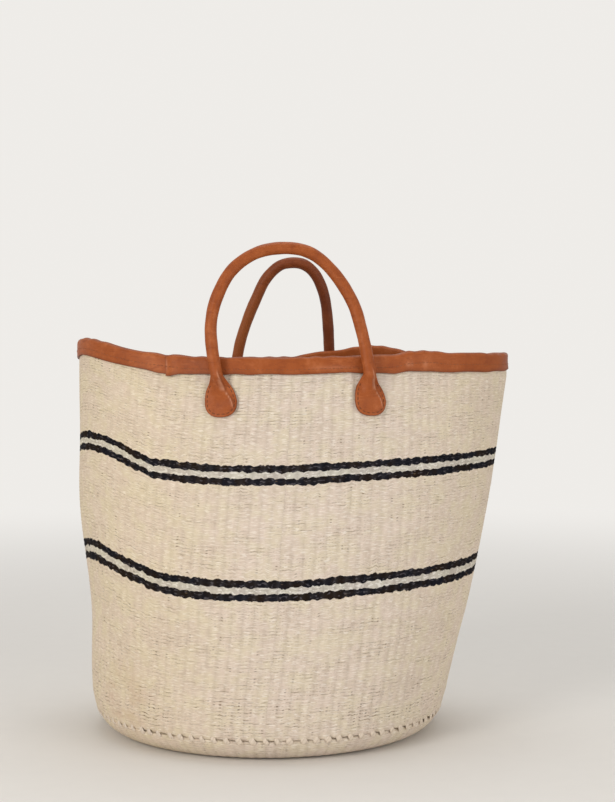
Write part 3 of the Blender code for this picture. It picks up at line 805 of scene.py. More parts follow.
@dataclass(frozen=True)
class BasketForm:
    """The basket's outline, which every sub-assembly sits on.

    A level is the height of a woven row before the rows rise at the ends of the mouth.  A run is
    the length of the way up the wall, from the edge of the flat base round the foot and on up.
    Angle 0 is +X, a quarter turn is the front, -Y.
    """

    rim_height: float = 0.400
    base_radius: float = 0.188
    foot_radius: float = 0.034
    mouth_half_width: float = 0.232
    mouth_front_depth: float = 0.126
    mouth_back_depth: float = 0.121
    mouth_shift: float = 0.0275
    wall_thickness: float = 0.005
    clearance: float = 0.0003
    width_shares: tuple[float, ...] = (0.0, 0.34, 0.70, 0.86, 1.0)
    shift_shares: tuple[float, ...] = (0.0, 0.36, 0.57, 0.81, 1.0)
    front_shares: tuple[float, ...] = (0.0, 0.01, 0.23, 0.62, 1.0)
    back_shares: tuple[float, ...] = (0.0, 0.15, 0.35, 0.63, 1.0)
    round_power: float = 2.0
    left_power: float = 2.30
    right_power: float = 1.65
    power_growth: float = 1.5
    left_rise: float = 0.032
    left_rise_shares: tuple[float, ...] = (0.0, 0.68, 1.0, 0.94, 0.62)
    left_rise_angle: float = math.radians(160)
    left_rise_spread: float = math.radians(30)
    right_rise: float = 0.011
    right_rise_shares: tuple[float, ...] = (0.0, 0.50, 1.0, 0.80, 0.63)
    right_rise_spread: float = math.radians(75)
    back_dip: float = 0.0055
    back_dip_ends: FourPlaces = (-0.150, -0.100, 0.022, 0.062)
    back_hump: float = 0.0060
    back_hump_place: float = 0.114
    back_hump_spread: float = 0.030
    back_right_dip: float = 0.0070
    back_right_ends: FourPlaces = (0.140, 0.172, 0.225, 0.250)
    back_half: Ends = (0.1, 0.5)
    front_right_lift: float = 0.0032
    front_right_ends: FourPlaces = (0.126, 0.148, 0.162, 0.192)
    front_half: Ends = (0.05, 0.3)
    tip_dip: float = 0.0036
    tip_dip_ends: Ends = (0.195, 0.256)
    wave_depth: float = 0.10
    probe_angle: float = 0.02
    tip_probe_angle: float = 0.09
    tip_spread: float = 0.30
    way_probes: int = 2881
    place_probes: int = 7201

    @property
    def foot_run(self) -> float:
        """The run round the foot."""
        return self.foot_radius * math.pi / 2

    def level(self, run: Sizes) -> np.ndarray:
        """Give the level at a run."""
        turn = np.clip(np.asarray(run, float) / self.foot_radius, 0.0, math.pi / 2)
        return self.foot_radius * (1 - np.cos(turn)) + np.maximum(run - self.foot_run, 0.0)

    def run(self, level: float) -> float:
        """Give the run at a level."""
        if level < self.foot_radius:
            return self.foot_radius * math.acos(1 - level / self.foot_radius)
        return level - self.foot_radius + self.foot_run

    def height_share(self, level: Sizes) -> np.ndarray:
        """Give the share of the upright wall below a level."""
        return np.maximum(level - self.foot_radius, 0.0) / (self.rim_height - self.foot_radius)

    def outline(self, level: Sizes, angle: Sizes) -> np.ndarray:
        """Give the outer surface's place in plan.

        Args:
            level: The levels.
            angle: The angles.

        Returns:
            The x and y of each point.
        """
        share = self.height_share(level)
        growth = np.minimum(share, 1.0) ** self.power_growth
        cosine, sine = np.cos(angle), np.sin(angle)
        power = mix(self.round_power, np.where(cosine >= 0, self.right_power, self.left_power), growth)
        front, back = (mix(self.base_radius, depth, along(shares, share)) for depth, shares in (
            (self.mouth_front_depth, self.front_shares), (self.mouth_back_depth, self.back_shares)))
        half = mix(self.base_radius, self.mouth_half_width, along(self.width_shares, share))
        x = self.mouth_shift * along(self.shift_shares, share) + half * squared(cosine, power)
        return np.stack((x, -np.where(sine >= 0, front, back) * squared(sine, power)), -1)

    def outward(self, level: Sizes, angle: Sizes) -> np.ndarray:
        """Give the outline's outward direction in plan, softened at the mouth's sharp end."""
        probe = mix(self.probe_angle, self.tip_probe_angle, bump(wrapped(angle), 0.0, self.tip_spread))
        run = unit(self.outline(level, angle + probe) - self.outline(level, angle - probe))
        return np.stack((-run[..., 1], run[..., 0]), -1)

    def rise(self, level: Sizes, angle: Sizes) -> np.ndarray:
        """Give how far a woven row runs above its level at the two ends of the mouth."""
        share = self.height_share(level)
        left = along(self.left_rise_shares, share) * bump(
            wrapped(angle - self.left_rise_angle), 0.0, self.left_rise_spread)
        right = along(self.right_rise_shares, share) * bump(wrapped(angle), 0.0, self.right_rise_spread)
        return self.left_rise * left + self.right_rise * right

    def mouth_wave(self, level: Sizes, angle: Sizes) -> np.ndarray:
        """Give how the mouth dips and humps at the back and right, which fades out down the wall.

        Args:
            level: The levels.
            angle: The angles.

        Returns:
            The rise at each point.
        """
        x = self.outline(level, angle)[..., 0]
        back = (self.back_hump * bump(x, self.back_hump_place, self.back_hump_spread)
                - self.back_dip * plateau(x, *self.back_dip_ends)
                - self.back_right_dip * plateau(x, *self.back_right_ends))
        front = self.front_right_lift * plateau(x, *self.front_right_ends)
        total = (back * smooth(-np.sin(angle), *self.back_half) + front * smooth(np.sin(angle), *self.front_half)
                 - self.tip_dip * smooth(x, *self.tip_dip_ends))
        return total * smooth(level, self.rim_height - self.wave_depth, self.rim_height)

    def point(self, level: Sizes, angle: Sizes, inset: Sizes = 0.0) -> np.ndarray:
        """Give points of the wall.

        Args:
            level: The levels.
            angle: The angles.
            inset: How far into the wall from its outer surface.

        Returns:
            The points, x, y and z in the last axis.
        """
        level, angle, inset = np.broadcast_arrays(*(np.asarray(part, float) for part in (level, angle, inset)))
        high = np.maximum(level, self.foot_radius)
        flat = self.outline(high, angle) - self.outward(high, angle) * inset[..., None]
        height = high + self.rise(high, angle) + self.mouth_wave(high, angle)
        upright = np.concatenate((flat, height[..., None]), -1)
        turn = np.arccos(np.clip(1 - level / self.foot_radius, -1.0, 1.0))
        reach = self.foot_radius - inset
        radius = self.base_radius - self.foot_radius + reach * np.sin(turn)
        foot = np.stack((radius * np.cos(angle), -radius * np.sin(angle),
                         self.foot_radius - reach * np.cos(turn)), -1)
        return np.where((level < self.foot_radius)[..., None], foot, upright)

    def even_angles(self, levels: np.ndarray, shares: np.ndarray, start: float) -> np.ndarray:
        """Give the angles that stand at even steps of length round the wall.

        Args:
            levels: The levels, one to a row.
            shares: The shares of the way round.
            start: The angle where the way round starts.

        Returns:
            The angles, by level and share.
        """
        probes = start + np.linspace(0.0, WHOLE_TURN, self.way_probes)
        runs = [lengths(line) for line in self.outline(np.asarray(levels)[:, None], probes[None, :])]
        return np.stack([np.interp(shares * run[-1], run, probes) for run in runs])

    def angle_at(self, level: float, x: float, is_front: bool) -> float:
        """Find the angle where the front or back wall passes an x position."""
        way = 1 if is_front else -1
        probes = np.linspace(0.0, math.pi, self.place_probes)
        return float(np.interp(-x, -self.outline(level, way * probes)[:, 0], probes)) * way


FORM = BasketForm()


@dataclass(frozen=True)
class Sway:
    """The soft, uneven lie of the wall: shallow dents that fade out at the tabs and the foot.

    Each wave has its strength, its count round, its climb, its phase, and the count and phase of
    the beat up the wall.
    """

    lap_angle: float = math.radians(120.6)
    crease_depth: float = 0.0016
    crease_spread: float = 0.10
    crease_levels: Ends = (0.13, 0.36)
    wave_depth: float = 0.0009
    waves: tuple[tuple[float, ...], ...] = ((1.0, 3, 9, 0.0, 31, 0.8), (0.6, 7, -14, 1.3, 23, math.pi / 2),
                                            (0.35, 13, 40, 2.1, 0, math.pi / 2))
    foot_levels: Ends = (0.03, 0.09)
    foot_bulge: float = 0.0030
    bulge_levels: FourPlaces = (0.0235, 0.045, 0.06, 0.115)
    end_spread: float = 0.75
    tip_inset: float = 0.0042
    tip_spread: float = 0.16
    tip_levels: Ends = (0.372, 0.398)
    tab_places: tuple[Ends, ...] = ((1.845, 0.365), (1.168, 0.365), (-1.82, 0.365), (-1.342, 0.365))
    tab_spread: Ends = (0.17, 0.045)

    def inset(self, level: Sizes, angle: Sizes) -> np.ndarray:
        """Give how far the wall is pressed in.

        Args:
            level: The levels.
            angle: The angles.

        Returns:
            The inset in metres, below zero where the wall bulges.
        """
        level, angle = np.broadcast_arrays(np.asarray(level, float), np.asarray(angle, float))
        total = self.crease_depth * bump(wrapped(angle - self.lap_angle), 0.0, self.crease_spread)
        total = total * smooth(level, *self.crease_levels)
        for strength, count, climb, phase, beat, beat_phase in self.waves:
            wave = np.sin(count * angle + climb * level + phase) * np.sin(beat * level + beat_phase)
            total = total + self.wave_depth * strength * wave
        around, upward = self.tab_spread
        for place, height in self.tab_places:
            total = total * (1 - bump(wrapped(angle - place), 0.0, around) * bump(level, height, upward))
        bulge = self.foot_bulge * bump(np.sin(angle), 0.0, self.end_spread) * plateau(level, *self.bulge_levels)
        tip = self.tip_inset * bump(wrapped(angle), 0.0, self.tip_spread) * smooth(level, *self.tip_levels)
        return total * smooth(level, *self.foot_levels) - bulge + tip

    def point(self, level: Sizes, angle: Sizes, inset: Sizes) -> np.ndarray:
        """Give points of the swaying wall at an inset."""
        return FORM.point(level, angle, inset + self.inset(level, angle))


SWAY = Sway()


# Woven bands


@dataclass(frozen=True)
class Weave:
    """The twined fabric: upright ribs, rows across them, and slanted stitches where they cross."""

    ribs: int = 108
    columns_per_rib: int = 7
    row_height: float = 0.0033
    crest: float = 0.0002
    rib_relief: float = 0.00080
    row_relief: float = 0.00034
    rib_shift: float = 0.2
    slack_power: float = 1.5
    slack_shares: Ends = (0.4, 1.0)
    strong_shares: Ends = (0.5, 1.0)
    stitch_spread: float = 0.00010
    slant: float = 0.00020
    lobe: float = 0.0016
    lobe_sizes: Ends = (0.3, 1.0)
    lobe_power: float = 0.75
    lobe_middle: float = 0.6
    ragged: float = 0.00028
    wander: float = 0.00050
    wander_counts: tuple[int, ...] = (9, 17, 31, 44, 61)
    wander_total: float = 2.2
    edge_rows: float = 2.5
    left_sag: Ends = (0.0020, 0.0032)
    left_sag_ends: Ends = (-0.198, -0.170)
    jog: float = 0.0016
    jog_ends: FourPlaces = (-0.1245, -0.1185, 0.02, 0.09)
    kink: float = 0.0016
    kink_low: Ends = (-0.120, 0.017)
    kink_high: Ends = (-0.157, 0.015)
    kink_levels: Ends = (0.19, 0.26)
    line_seed_steps: int = 10000
    field_counts: tuple[int, ...] = (7, 13, 23, 37, 58)
    field_drift: float = 0.5
    field_beats: Ends = (0.1, 0.6)
    field_strength: float = 0.35

    @property
    def columns(self) -> int:
        """The number of outer columns."""
        return self.ribs * self.columns_per_rib

    def line_lift(self, level: float, way: float) -> np.ndarray:
        """Give how far the line between two bands runs above or below its level at each column.

        Args:
            level: The line's level, which two neighbouring bands share.
            way: 1 where the dark row lies below the line, -1 where it lies above.

        Returns:
            The lift by column: the dark row's lobes at the ribs, a slow wander, the sag and kink at
            the left end of the mouth and the small step where the rows of a new colour start.
        """
        chance = np.random.default_rng(round(level * self.line_seed_steps))
        places = np.arange(self.columns) / self.columns_per_rib
        turns = WHOLE_TURN * places / self.ribs
        waves = sum(np.sin(count * turns + chance.uniform(0, WHOLE_TURN)) for count in self.wander_counts)
        size = np.repeat(chance.uniform(*self.lobe_sizes, self.ribs), self.columns_per_rib)
        lobes = size * (np.sin(math.pi * (places % 1.0) ** self.lobe_power) - self.lobe_middle)
        ragged = chance.normal(0.0, self.ragged, self.columns)
        x, y = FORM.outline(level, FORM.even_angles(np.array([level]), places / self.ribs, math.pi / 2)[0]).T
        upper = smooth(level, *self.kink_levels)
        sag = mix(*self.left_sag, upper) * (1 - smooth(x, *self.left_sag_ends))
        kink = self.kink * upper * (bump(x, *self.kink_low) - bump(x, *self.kink_high))
        front = (self.jog * plateau(x, *self.jog_ends) + kink) * (y < 0)
        return self.lobe * way * lobes + self.wander / self.wander_total * waves + ragged - sag - front

    def field(self, rib: np.ndarray, row: np.ndarray, seed: int) -> np.ndarray:
        """Give a slowly changing share, from 0 to 1, over the columns and lines."""
        chance = np.random.default_rng(seed)
        rib, row, total = rib[None, :], row[:, None], 0.0
        for count in self.field_counts:
            turn = WHOLE_TURN * count * rib / self.ribs + row * chance.uniform(-self.field_drift, self.field_drift)
            wave = np.sin(turn + chance.uniform(0, WHOLE_TURN))
            total = total + wave * np.sin(row * chance.uniform(*self.field_beats) + chance.uniform(0, WHOLE_TURN))
        return np.clip(0.5 + self.field_strength * total, 0.0, 1.0)

    def relief(self, rib: np.ndarray, row: np.ndarray, seed: int) -> np.ndarray:
        """Give the inset of the fabric's surface.

        Args:
            rib: The columns' places in ribs.
            row: The lines' places in rows.
            seed: The seed of the stitches' own unevenness.

        Returns:
            The inset by line and column.
        """
        chance = np.random.default_rng(seed).normal(0.0, self.stitch_spread, (len(row), len(rib)))
        strong, shift = self.field(rib, row, seed + 1), self.field(rib, row, seed + 2) - 0.5
        off_rib = (1 + np.cos(WHOLE_TURN * (rib[None, :] + self.rib_shift * shift))) / 2
        slack = mix(*self.slack_shares, np.abs(np.cos(WHOLE_TURN * rib / self.ribs))[None, :] ** self.slack_power)
        return (self.rib_relief * off_rib * slack * mix(*self.strong_shares, strong)
                + self.row_relief * (np.cos(math.pi * row) ** 2)[:, None] + np.abs(chance) - self.crest)


WEAVE = Weave()


@dataclass(frozen=True)
class Band:
    """One woven ring of the wall, from one level to another."""

    name: str
    low: float
    high: float
    finish: SisalFinish
    seed: int

    @property
    def rows(self) -> int:
        """The number of woven rows."""
        return max(1, round((FORM.run(self.high) - FORM.run(self.low)) / WEAVE.row_height))


@dataclass(frozen=True)
class WovenWall:
    """The wall: the rounded foot, three plain bands and two groups of dark, light and dark rows."""

    seam_level: float = 0.0230
    lower_stripes: float = 0.1719
    upper_stripes: float = 0.2837
    dark_row: float = 0.0068
    light_row: float = 0.0062
    top: float = 0.3979
    stripe_rows: tuple[tuple[str, SisalFinish], ...] = (
        ("dark_row_bottom", DARK_SISAL), ("light_row", LIGHT_SISAL), ("dark_row_top", DARK_SISAL))
    seam_depth: float = 0.0026
    seam_width: float = 0.0015
    # Painted shade in the slots of the foot seam.
    seam_slot_shade: float = 0.06
    seam_slot_shade_ends: Ends = (0.25, 0.9)
    seam_slots: int = 92
    seam_ends: Ends = (0.70, 0.92)
    seam_fade: float = 0.85
    seam_chances: Ends = (0.35, 1.0)
    seam_seed: int = 25
    seam_slope: float = 0.0026
    calm_runs: Ends = (0.002, 0.02)
    calm_levels: Ends = (0.372, 0.384)
    foot_relief: float = 0.5
    band_mark: float = 60.0
    inner_mark: float = 700.0

    def bands(self) -> list[Band]:
        """List the foot and the wall's rings: the plain ones first, then the striped groups."""
        half = self.light_row / 2
        steps = (-half - self.dark_row, -half, half, half + self.dark_row)
        low, high = ([middle + step for step in steps] for middle in (self.lower_stripes, self.upper_stripes))
        rings = [Band("base_edge", 0.0, self.seam_level, SISAL, 20),
                 Band("wall_lower", self.seam_level, low[0], SISAL, 21),
                 Band("wall_middle", low[-1], high[0], SISAL, 22),
                 Band("wall_upper", high[-1], self.top, SISAL, 23)]
        for group, edges, seed in (("lower_stripes", low, 31), ("upper_stripes", high, 41)):
            for place, (row, finish) in enumerate(self.stripe_rows):
                rings.append(Band(f"{group}_{row}", edges[place], edges[place + 1], finish, seed + place))
        return rings

    def seam_inset(self, run: np.ndarray, angle: np.ndarray) -> np.ndarray:
        """Give the depth of the slanted slots between foot and wall.

        Args:
            run: The runs of the lines.
            angle: The angles, by line and column.

        Returns:
            The inset by line and column.
        """
        place = angle / WHOLE_TURN * self.seam_slots
        middle = FORM.run(self.seam_level) + self.seam_slope * (place % 1.0 - 0.5)
        chance = np.random.default_rng(self.seam_seed).uniform(*self.seam_chances, self.seam_slots)
        presence = 1 - self.seam_fade * smooth(-np.cos(angle), *self.seam_ends)
        slots = self.seam_depth * chance[np.floor(place).astype(int) % self.seam_slots]
        return slots * presence * bump(run[:, None], middle, self.seam_width)

    def line_lifts(self, band: Band, run: np.ndarray) -> np.ndarray:
        """Give how far each line of a ring runs above its level: its edges' lift, and the slant.

        Args:
            band: The ring.
            run: The runs of its lines.

        Returns:
            The lift by line and column.
        """
        rows, lines = band.rows, np.arange(len(run)) / 2
        reach, up = WEAVE.edge_rows + rows / 3, (lines / rows)[:, None]
        near_low = (1 - up) * (1 - smooth(lines, 0.0, reach))[:, None]
        near_high = up * smooth(lines, rows - reach, rows)[:, None]
        way = 1.0 if band.finish is DARK_SISAL else -1.0
        slant = WEAVE.slant * np.sin(WHOLE_TURN * np.arange(WEAVE.columns) / WEAVE.columns_per_rib)
        lift = (near_low * WEAVE.line_lift(band.low, -way) + near_high * WEAVE.line_lift(band.high, way)
                + slant * (near_low + near_high < 1))
        seam = FORM.run(self.seam_level)
        calm = (seam + part for part in self.calm_runs)
        return lift * plateau(run, *calm, *(FORM.run(level) for level in self.calm_levels))[:, None]

    def build(self) -> None:
        """Build every ring as a closed shell with its stitches outside and inside."""
        for number, band in enumerate(self.bands()):
            self.build_band(band, number)

    def build_band(self, band: Band, number: int) -> None:
        """Build one ring.

        Args:
            band: The ring.
            number: The ring's number, which sets its weave coordinates apart.
        """
        lines = np.arange(2 * band.rows + 1) / 2
        places = np.arange(WEAVE.columns) / WEAVE.columns_per_rib
        run = mix(FORM.run(band.low), FORM.run(band.high), lines / band.rows)
        level = FORM.level(run[:, None] + self.line_lifts(band, run))
        angles = FORM.even_angles(FORM.level(run), places / WEAVE.ribs, math.pi / 2)
        relief = WEAVE.relief(places, lines, band.seed)
        if band.high <= self.seam_level:
            relief = relief * self.foot_relief + 2 * WEAVE.crest
        groove = self.seam_inset(run, angles)
        # Painted shade in the foot seam's slots, carried by the tone attribute.
        tone = 1 - (1 - self.seam_slot_shade) * smooth(groove / self.seam_depth, *self.seam_slot_shade_ends)
        inner_inset = FORM.wall_thickness - WEAVE.rib_relief * (1 - np.cos(WHOLE_TURN * places[::2])) / 2
        inner_points = SWAY.point(FORM.level(run[::2])[:, None], angles[::2, ::2], inner_inset)
        draft = MeshDraft()
        outer = closed(draft.add_points(SWAY.point(level, angles, relief + groove), tone))
        inner = closed(draft.add_points(inner_points))
        marks = weave_marks(np.arange(WEAVE.columns + 1) / WEAVE.columns_per_rib, lines + self.band_mark * number)
        draft.add_grid(outer, marks, True)
        draft.add_grid(inner, marks[::2, ::2] + (0.0, self.inner_mark))
        for end in (-1, 0):
            draft.join_rings(outer[end], inner[end], marks[end], end < 0)
        draft.fit(f"woven_{band.name}", band.finish, band.name)


@dataclass(frozen=True)
class WovenBase:
    """The flat base: rows in rings round its centre, with more ribs towards its edge."""

    radius: float = 0.1537
    thickness: float = 0.005
    rings: int = 46
    columns: int = 400
    centre_radius: float = 0.002
    relief: float = 0.0007
    unevenness: float = 0.0002
    seed: int = 51
    zones: tuple[tuple[float, int], ...] = ((0.018, 25), (0.042, 50), (0.088, 100), (1.0, 200))
    face_marks: Ends = (900.0, 1000.0)

    def ribs_at(self, radius: float) -> int:
        """Give the number of ribs at a radius."""
        return next(count for reach, count in self.zones if radius < reach)

    def build(self) -> None:
        """Build the base as a closed disc with woven relief on both faces."""
        lines = np.arange(2 * self.rings + 1) / 2
        radii = mix(self.centre_radius, self.radius, lines / self.rings)
        turns = turns_round(self.columns)
        counts = np.array([self.ribs_at(radius) for radius in radii])
        rib_waves = (1 + np.cos(counts[:, None] * turns)) / 2
        depth = self.relief / 2 * (rib_waves + (np.cos(math.pi * lines) ** 2)[:, None])
        depth = depth + np.random.default_rng(self.seed).uniform(0.0, self.unevenness, depth.shape)
        x, y = (radii[:, None] * wave(turns + math.pi / 2) for wave in (np.cos, lambda turn: -np.sin(turn)))
        draft = MeshDraft()
        rims = []
        shares = np.arange(self.columns + 1) / self.columns
        for is_top, first_mark in zip((True, False), self.face_marks):
            height = self.thickness - depth if is_top else depth
            numbers = closed(draft.add_points(np.stack((x, y, height), -1)))
            rims.append(numbers[-1])
            for line in range(len(lines) - 1):
                marks = weave_marks(shares * counts[line], lines[line:line + 2] + first_mark)
                draft.add_grid(numbers[line:line + 2], marks, not is_top)
            middle = draft.add_points(np.array([[0.0, 0.0, self.thickness if is_top else 0.0]]))[0]
            fan = np.stack((numbers[0, :-1], numbers[0, 1:], np.full(self.columns, middle)), -1)
            draft.add_faces(fan, np.zeros((self.columns, 3, 2)), is_top)
        draft.add_grid(np.stack(rims), np.zeros((2, self.columns + 1, 2)))
        draft.fit("woven_base_disc", SISAL, "woven_base")


@dataclass(frozen=True)
class FootSeam:
    """The slanted sisal stitches that join the foot to the wall."""

    level: float = 0.0230
    count: int = 92
    reach: float = 0.0038
    slant_share: float = 0.34
    half_width: float = 0.0027
    half_height: float = 0.0007
    jitter: float = 0.10
    width_spread: Ends = (0.85, 1.2)
    end_depth: float = 0.0012
    end_taper: float = 0.8
    steps: int = 9
    sides: int = 10
    seed: int = 61

    def build(self) -> None:
        """Build all the stitches as one piece."""
        chance = np.random.default_rng(self.seed)
        draft = MeshDraft()
        share = np.linspace(-1.0, 1.0, self.steps)
        level = FORM.level(FORM.run(self.level) + share * self.reach)
        inset = self.end_depth * np.abs(share) ** 3
        taper = np.sqrt(1 - np.abs(share) ** 4 * self.end_taper)
        for stitch in range(self.count):
            jitter, _ = chance.uniform(-self.jitter, self.jitter, 2)
            width = self.half_width * chance.uniform(*self.width_spread)
            turn = WHOLE_TURN * (stitch + jitter + share * self.slant_share * 0.5) / self.count
            points = FORM.point(level, turn, inset)
            normals = unit(points - FORM.point(level, turn, inset + FORM.wall_thickness))
            draft.add_strand(points, normals, width * taper, self.half_height * taper, self.sides, stitch)
        draft.fit("foot_seam_stitches", SISAL_CORD, "base_seam_thread")


@dataclass(frozen=True)
class LooseFibres:
    """Stray sisal fibres that stand out of the weave and lie at the foot."""

    count: int = 130
    radius: float = 0.00013
    tip_share: float = 0.8
    foot_levels: Ends = (0.003, 0.022)
    foot_climbs: Ends = (-0.8, 0.5)
    wall_levels: Ends = (0.03, 0.37)
    wall_climbs: Ends = (-0.7, 0.7)
    lengths: Ends = (0.004, 0.012)
    stand_off: Ends = (0.12, 0.32)
    root_depth: float = 0.0010
    curl: float = 0.0006
    lowest: float = 0.0004
    steps: int = 7
    sides: int = 5
    seed: int = 71

    def build(self) -> None:
        """Build the fibres as one piece."""
        chance = np.random.default_rng(self.seed)
        draft = MeshDraft()
        share = np.linspace(0.0, 1.0, self.steps)
        size = self.radius * (1.1 - self.tip_share * share)
        normals = np.broadcast_to(UP, (self.steps, 3)) + 0.2
        for number in range(self.count):
            is_low = number % 3 == 0
            angle = chance.uniform(0.0, WHOLE_TURN)
            level = chance.uniform(*(self.foot_levels if is_low else self.wall_levels))
            length = share * chance.uniform(*self.lengths)
            way = chance.uniform(-1.0, 1.0)
            climb = chance.uniform(*(self.foot_climbs if is_low else self.wall_climbs))
            inset = self.root_depth - length * chance.uniform(*self.stand_off) - self.curl * np.sin(math.pi * share)
            run = np.maximum(FORM.run(level) + length * climb, 0.0)
            points = FORM.point(FORM.level(run), angle + way * length / FORM.base_radius, inset)
            points[:, 2] = np.maximum(points[:, 2], self.lowest)
            draft.add_strand(points, normals, size, size, self.sides, number)
        draft.fit("loose_fibres", SISAL_CORD)


# Leather


@dataclass(frozen=True)
class RimBinding:
    """The leather strip folded over the mouth, whose end laps over its start, and its stitching.

    Each painted highlight has its x position, its spread and its strength. An edge's ripple has its count along
    the rim, its sway and the sway's count.
    """

    height: float = 0.016
    skin: float = 0.0018
    lap_angle: float = math.radians(118.2)
    lap_length: float = 0.010
    ramp_length: float = 0.012
    start_gap: float = 0.0006
    lap_lift: float = 0.0013
    lap_blend: Ends = (-0.0005, 0.0015)
    end_thinning: float = 0.70
    end_length: float = 0.008
    start_thinning: float = 0.50
    start_ends: Ends = (0.006, 0.018)
    top_lift_share: float = 0.5
    depth_places: tuple[float, ...] = (-0.205, -0.165, -0.122, -0.110, -0.098, -0.088, -0.035,
                                       0.085, 0.130, 0.150, 0.215, 0.250)
    extra_depths: tuple[float, ...] = (0.0047, 0.0040, 0.0026, 0.0042, 0.0050, 0.0027, 0.0014,
                                       0.0012, 0.0034, 0.0050, 0.0050, 0.0035)
    back_depth_share: float = 0.25
    front_half: Ends = (-0.05, 0.2)
    wrinkle: float = 0.00035
    wrinkle_count: float = 180
    wrinkle_groups: Ends = (21, 0.7)
    fine: float = 0.00022
    fine_ripple: Triple = (95, 1.9, 37)
    edge_height: float = 0.0004
    lower_ripple: Triple = (130, 2, 41)
    upper_ripple: Triple = (210, 3, 57)
    end_sag: float = 0.0012
    end_sag_spread: float = 0.006
    outer_shares: tuple[float, ...] = (0.0, 0.06, 0.2, 0.35, 0.5, 0.65, 0.78)
    top_steps: int = 10
    top_power: float = 0.8
    # Painted shade low on the strip's inner face, inside the mouth.
    inner_painted_shade: float = 0.55
    inner_painted_shade_ends: Ends = (0.2, 0.65)
    cut_tone: float = 0.25
    # Painted shade along the strip's rounded top and bottom edges.
    rounded_edge_shade: float = 0.74
    rounded_edge_shade_shares: Ends = (0.1, 0.93)
    # The lap's cut end is darker, as a cut edge and as painted shade where it faces the light.
    cut_end_and_shade_tone: float = 0.6
    start_shadow: float = 0.15
    start_shadow_place: Ends = (0.0012, 0.0008)
    tip_shadow: float = 0.4
    tip_shadow_reach: float = 0.006
    # A pale line at the lap's end: rubbed wear and a painted highlight on its ridge.
    lap_wear_and_highlight: float = 0.4
    lap_wear_and_highlight_place: Ends = (-0.0012, 0.0010)
    # Painted highlights on wrinkles and along the stitch line on the strip's front.
    painted_highlights: tuple[Triple, ...] = ((0.066, 0.020, 0.24), (0.144, 0.0022, 0.38),
                                  (0.148, 0.0012, 0.30), (0.162, 0.0022, 0.34))
    painted_highlight_share: Ends = (0.35, 0.12)
    stations: int = 960
    lap_stations: int = 24
    way_probes: int = 3457
    stitch_inset: float = 0.0035
    stitch_pitch: float = 0.0042
    stitch_jitter: float = 0.0004
    stitch_length: float = 0.0027
    stitch_spread: Ends = (0.8, 1.1)
    stitch_radius: float = 0.00036
    stitch_crown: float = 0.0001
    stitch_wander: Ends = (0.0003, 60)
    stitch_steps: int = 6
    stitch_seed: int = 81

    def way_round(self, run: np.ndarray) -> tuple[np.ndarray, float]:
        """Turn lengths along the rim from the strip's start into angles.

        Args:
            run: The lengths.

        Returns:
            The angles, and the rim's whole length.
        """
        probes = self.lap_angle + np.linspace(0.0, 1.2 * WHOLE_TURN, self.way_probes)
        runs = lengths(FORM.outline(FORM.rim_height, probes))
        whole = float(np.interp(self.lap_angle + WHOLE_TURN, probes, runs))
        return np.interp(run, runs, probes), whole

    def lift(self, run: np.ndarray, whole: float) -> np.ndarray:
        """Give how far the strip stands off where its end passes over its start."""
        return self.lap_lift * smooth(run, whole - self.ramp_length, whole - self.start_gap)

    def thickness(self, run: np.ndarray, whole: float) -> np.ndarray:
        """Give the strip's thickness, which is pared down at its start and at its end."""
        finish = whole + self.lap_length
        end = 1 - self.end_thinning * smooth(run, finish - self.end_length, finish)
        start = 1 - self.start_thinning * (1 - smooth(run, *self.start_ends))
        return self.skin * np.minimum(end, start)

    def surface(self, run: np.ndarray, whole: float) -> np.ndarray:
        """Give how far the uppermost leather stands off along the rim, lap and all."""
        under = self.lift(run, whole) + self.thickness(run, whole)
        over = self.lap_lift + self.thickness(run + whole, whole)
        return mix(over, under, smooth(run, *(self.lap_length + part for part in self.lap_blend)))

    def unevenness(self, run: np.ndarray, share: float) -> np.ndarray:
        """Give the strip's own soft wrinkles, as a stand-off at each place."""
        count, phase = self.wrinkle_groups
        waves = (0.5 + 0.5 * np.sin(run * self.wrinkle_count + 3 * share)) * bump(np.sin(run * count + phase), 1.0, 0.5)
        return self.wrinkle * waves + self.fine * (0.5 + 0.5 * wandering(run, *self.fine_ripple))

    def raggedness(self, run: np.ndarray, share: float, whole: float) -> np.ndarray:
        """Give how far the strip's edges wave up and down, and the sag of its end."""
        lower = wandering(run, *self.lower_ripple) * (1 - min(share * 4, 1.0))
        upper = wandering(run, *self.upper_ripple) * max(share * 3 - 2, 0.0)
        sag = bump(run, whole + self.lap_length, self.end_sag_spread) * (1 - min(share * 2, 1.0))
        return self.edge_height * (lower + upper) - self.end_sag * sag

    def section(self) -> list[Triple]:
        """List the section's points.

        Each has a side, from -1 outside the basket to 1 inside it, a share of the strip's height
        from its lower edge up, and 1 on the strip's outer skin or 0 on its hidden face.
        """
        shoulder = self.outer_shares[-1]
        turns = [math.pi * step / self.top_steps for step in range(1, self.top_steps)]
        top = [(-math.cos(turn), shoulder + (1 - shoulder) * math.sin(turn) ** self.top_power, 1.0) for turn in turns]
        outer = [(-1.0, share, 1.0) for share in self.outer_shares]
        inner = [(1.0, share, 1.0) for share in reversed(self.outer_shares)]
        hidden = [(1.0, share, 0.0) for share in (0.0, 0.5, 1.0)]
        return outer + top + inner + hidden + [(-1.0, share, 0.0) for _, share, _ in reversed(hidden)]

    def tone(self, side: float, share: float) -> float:
        """Give the tone at a place of the section: darker at its bottom cut edge, with painted shade along its rounded
        edges and low on its inner face.
        """
        low, high = self.rounded_edge_shade_shares
        edge = self.cut_tone if share == 0.0 else self.rounded_edge_shade if share < low or share > high else 1.0
        inside = float(mix(self.inner_painted_shade, 1.0, smooth(share, *self.inner_painted_shade_ends)))
        return edge * (inside if side > 0 else 1.0)

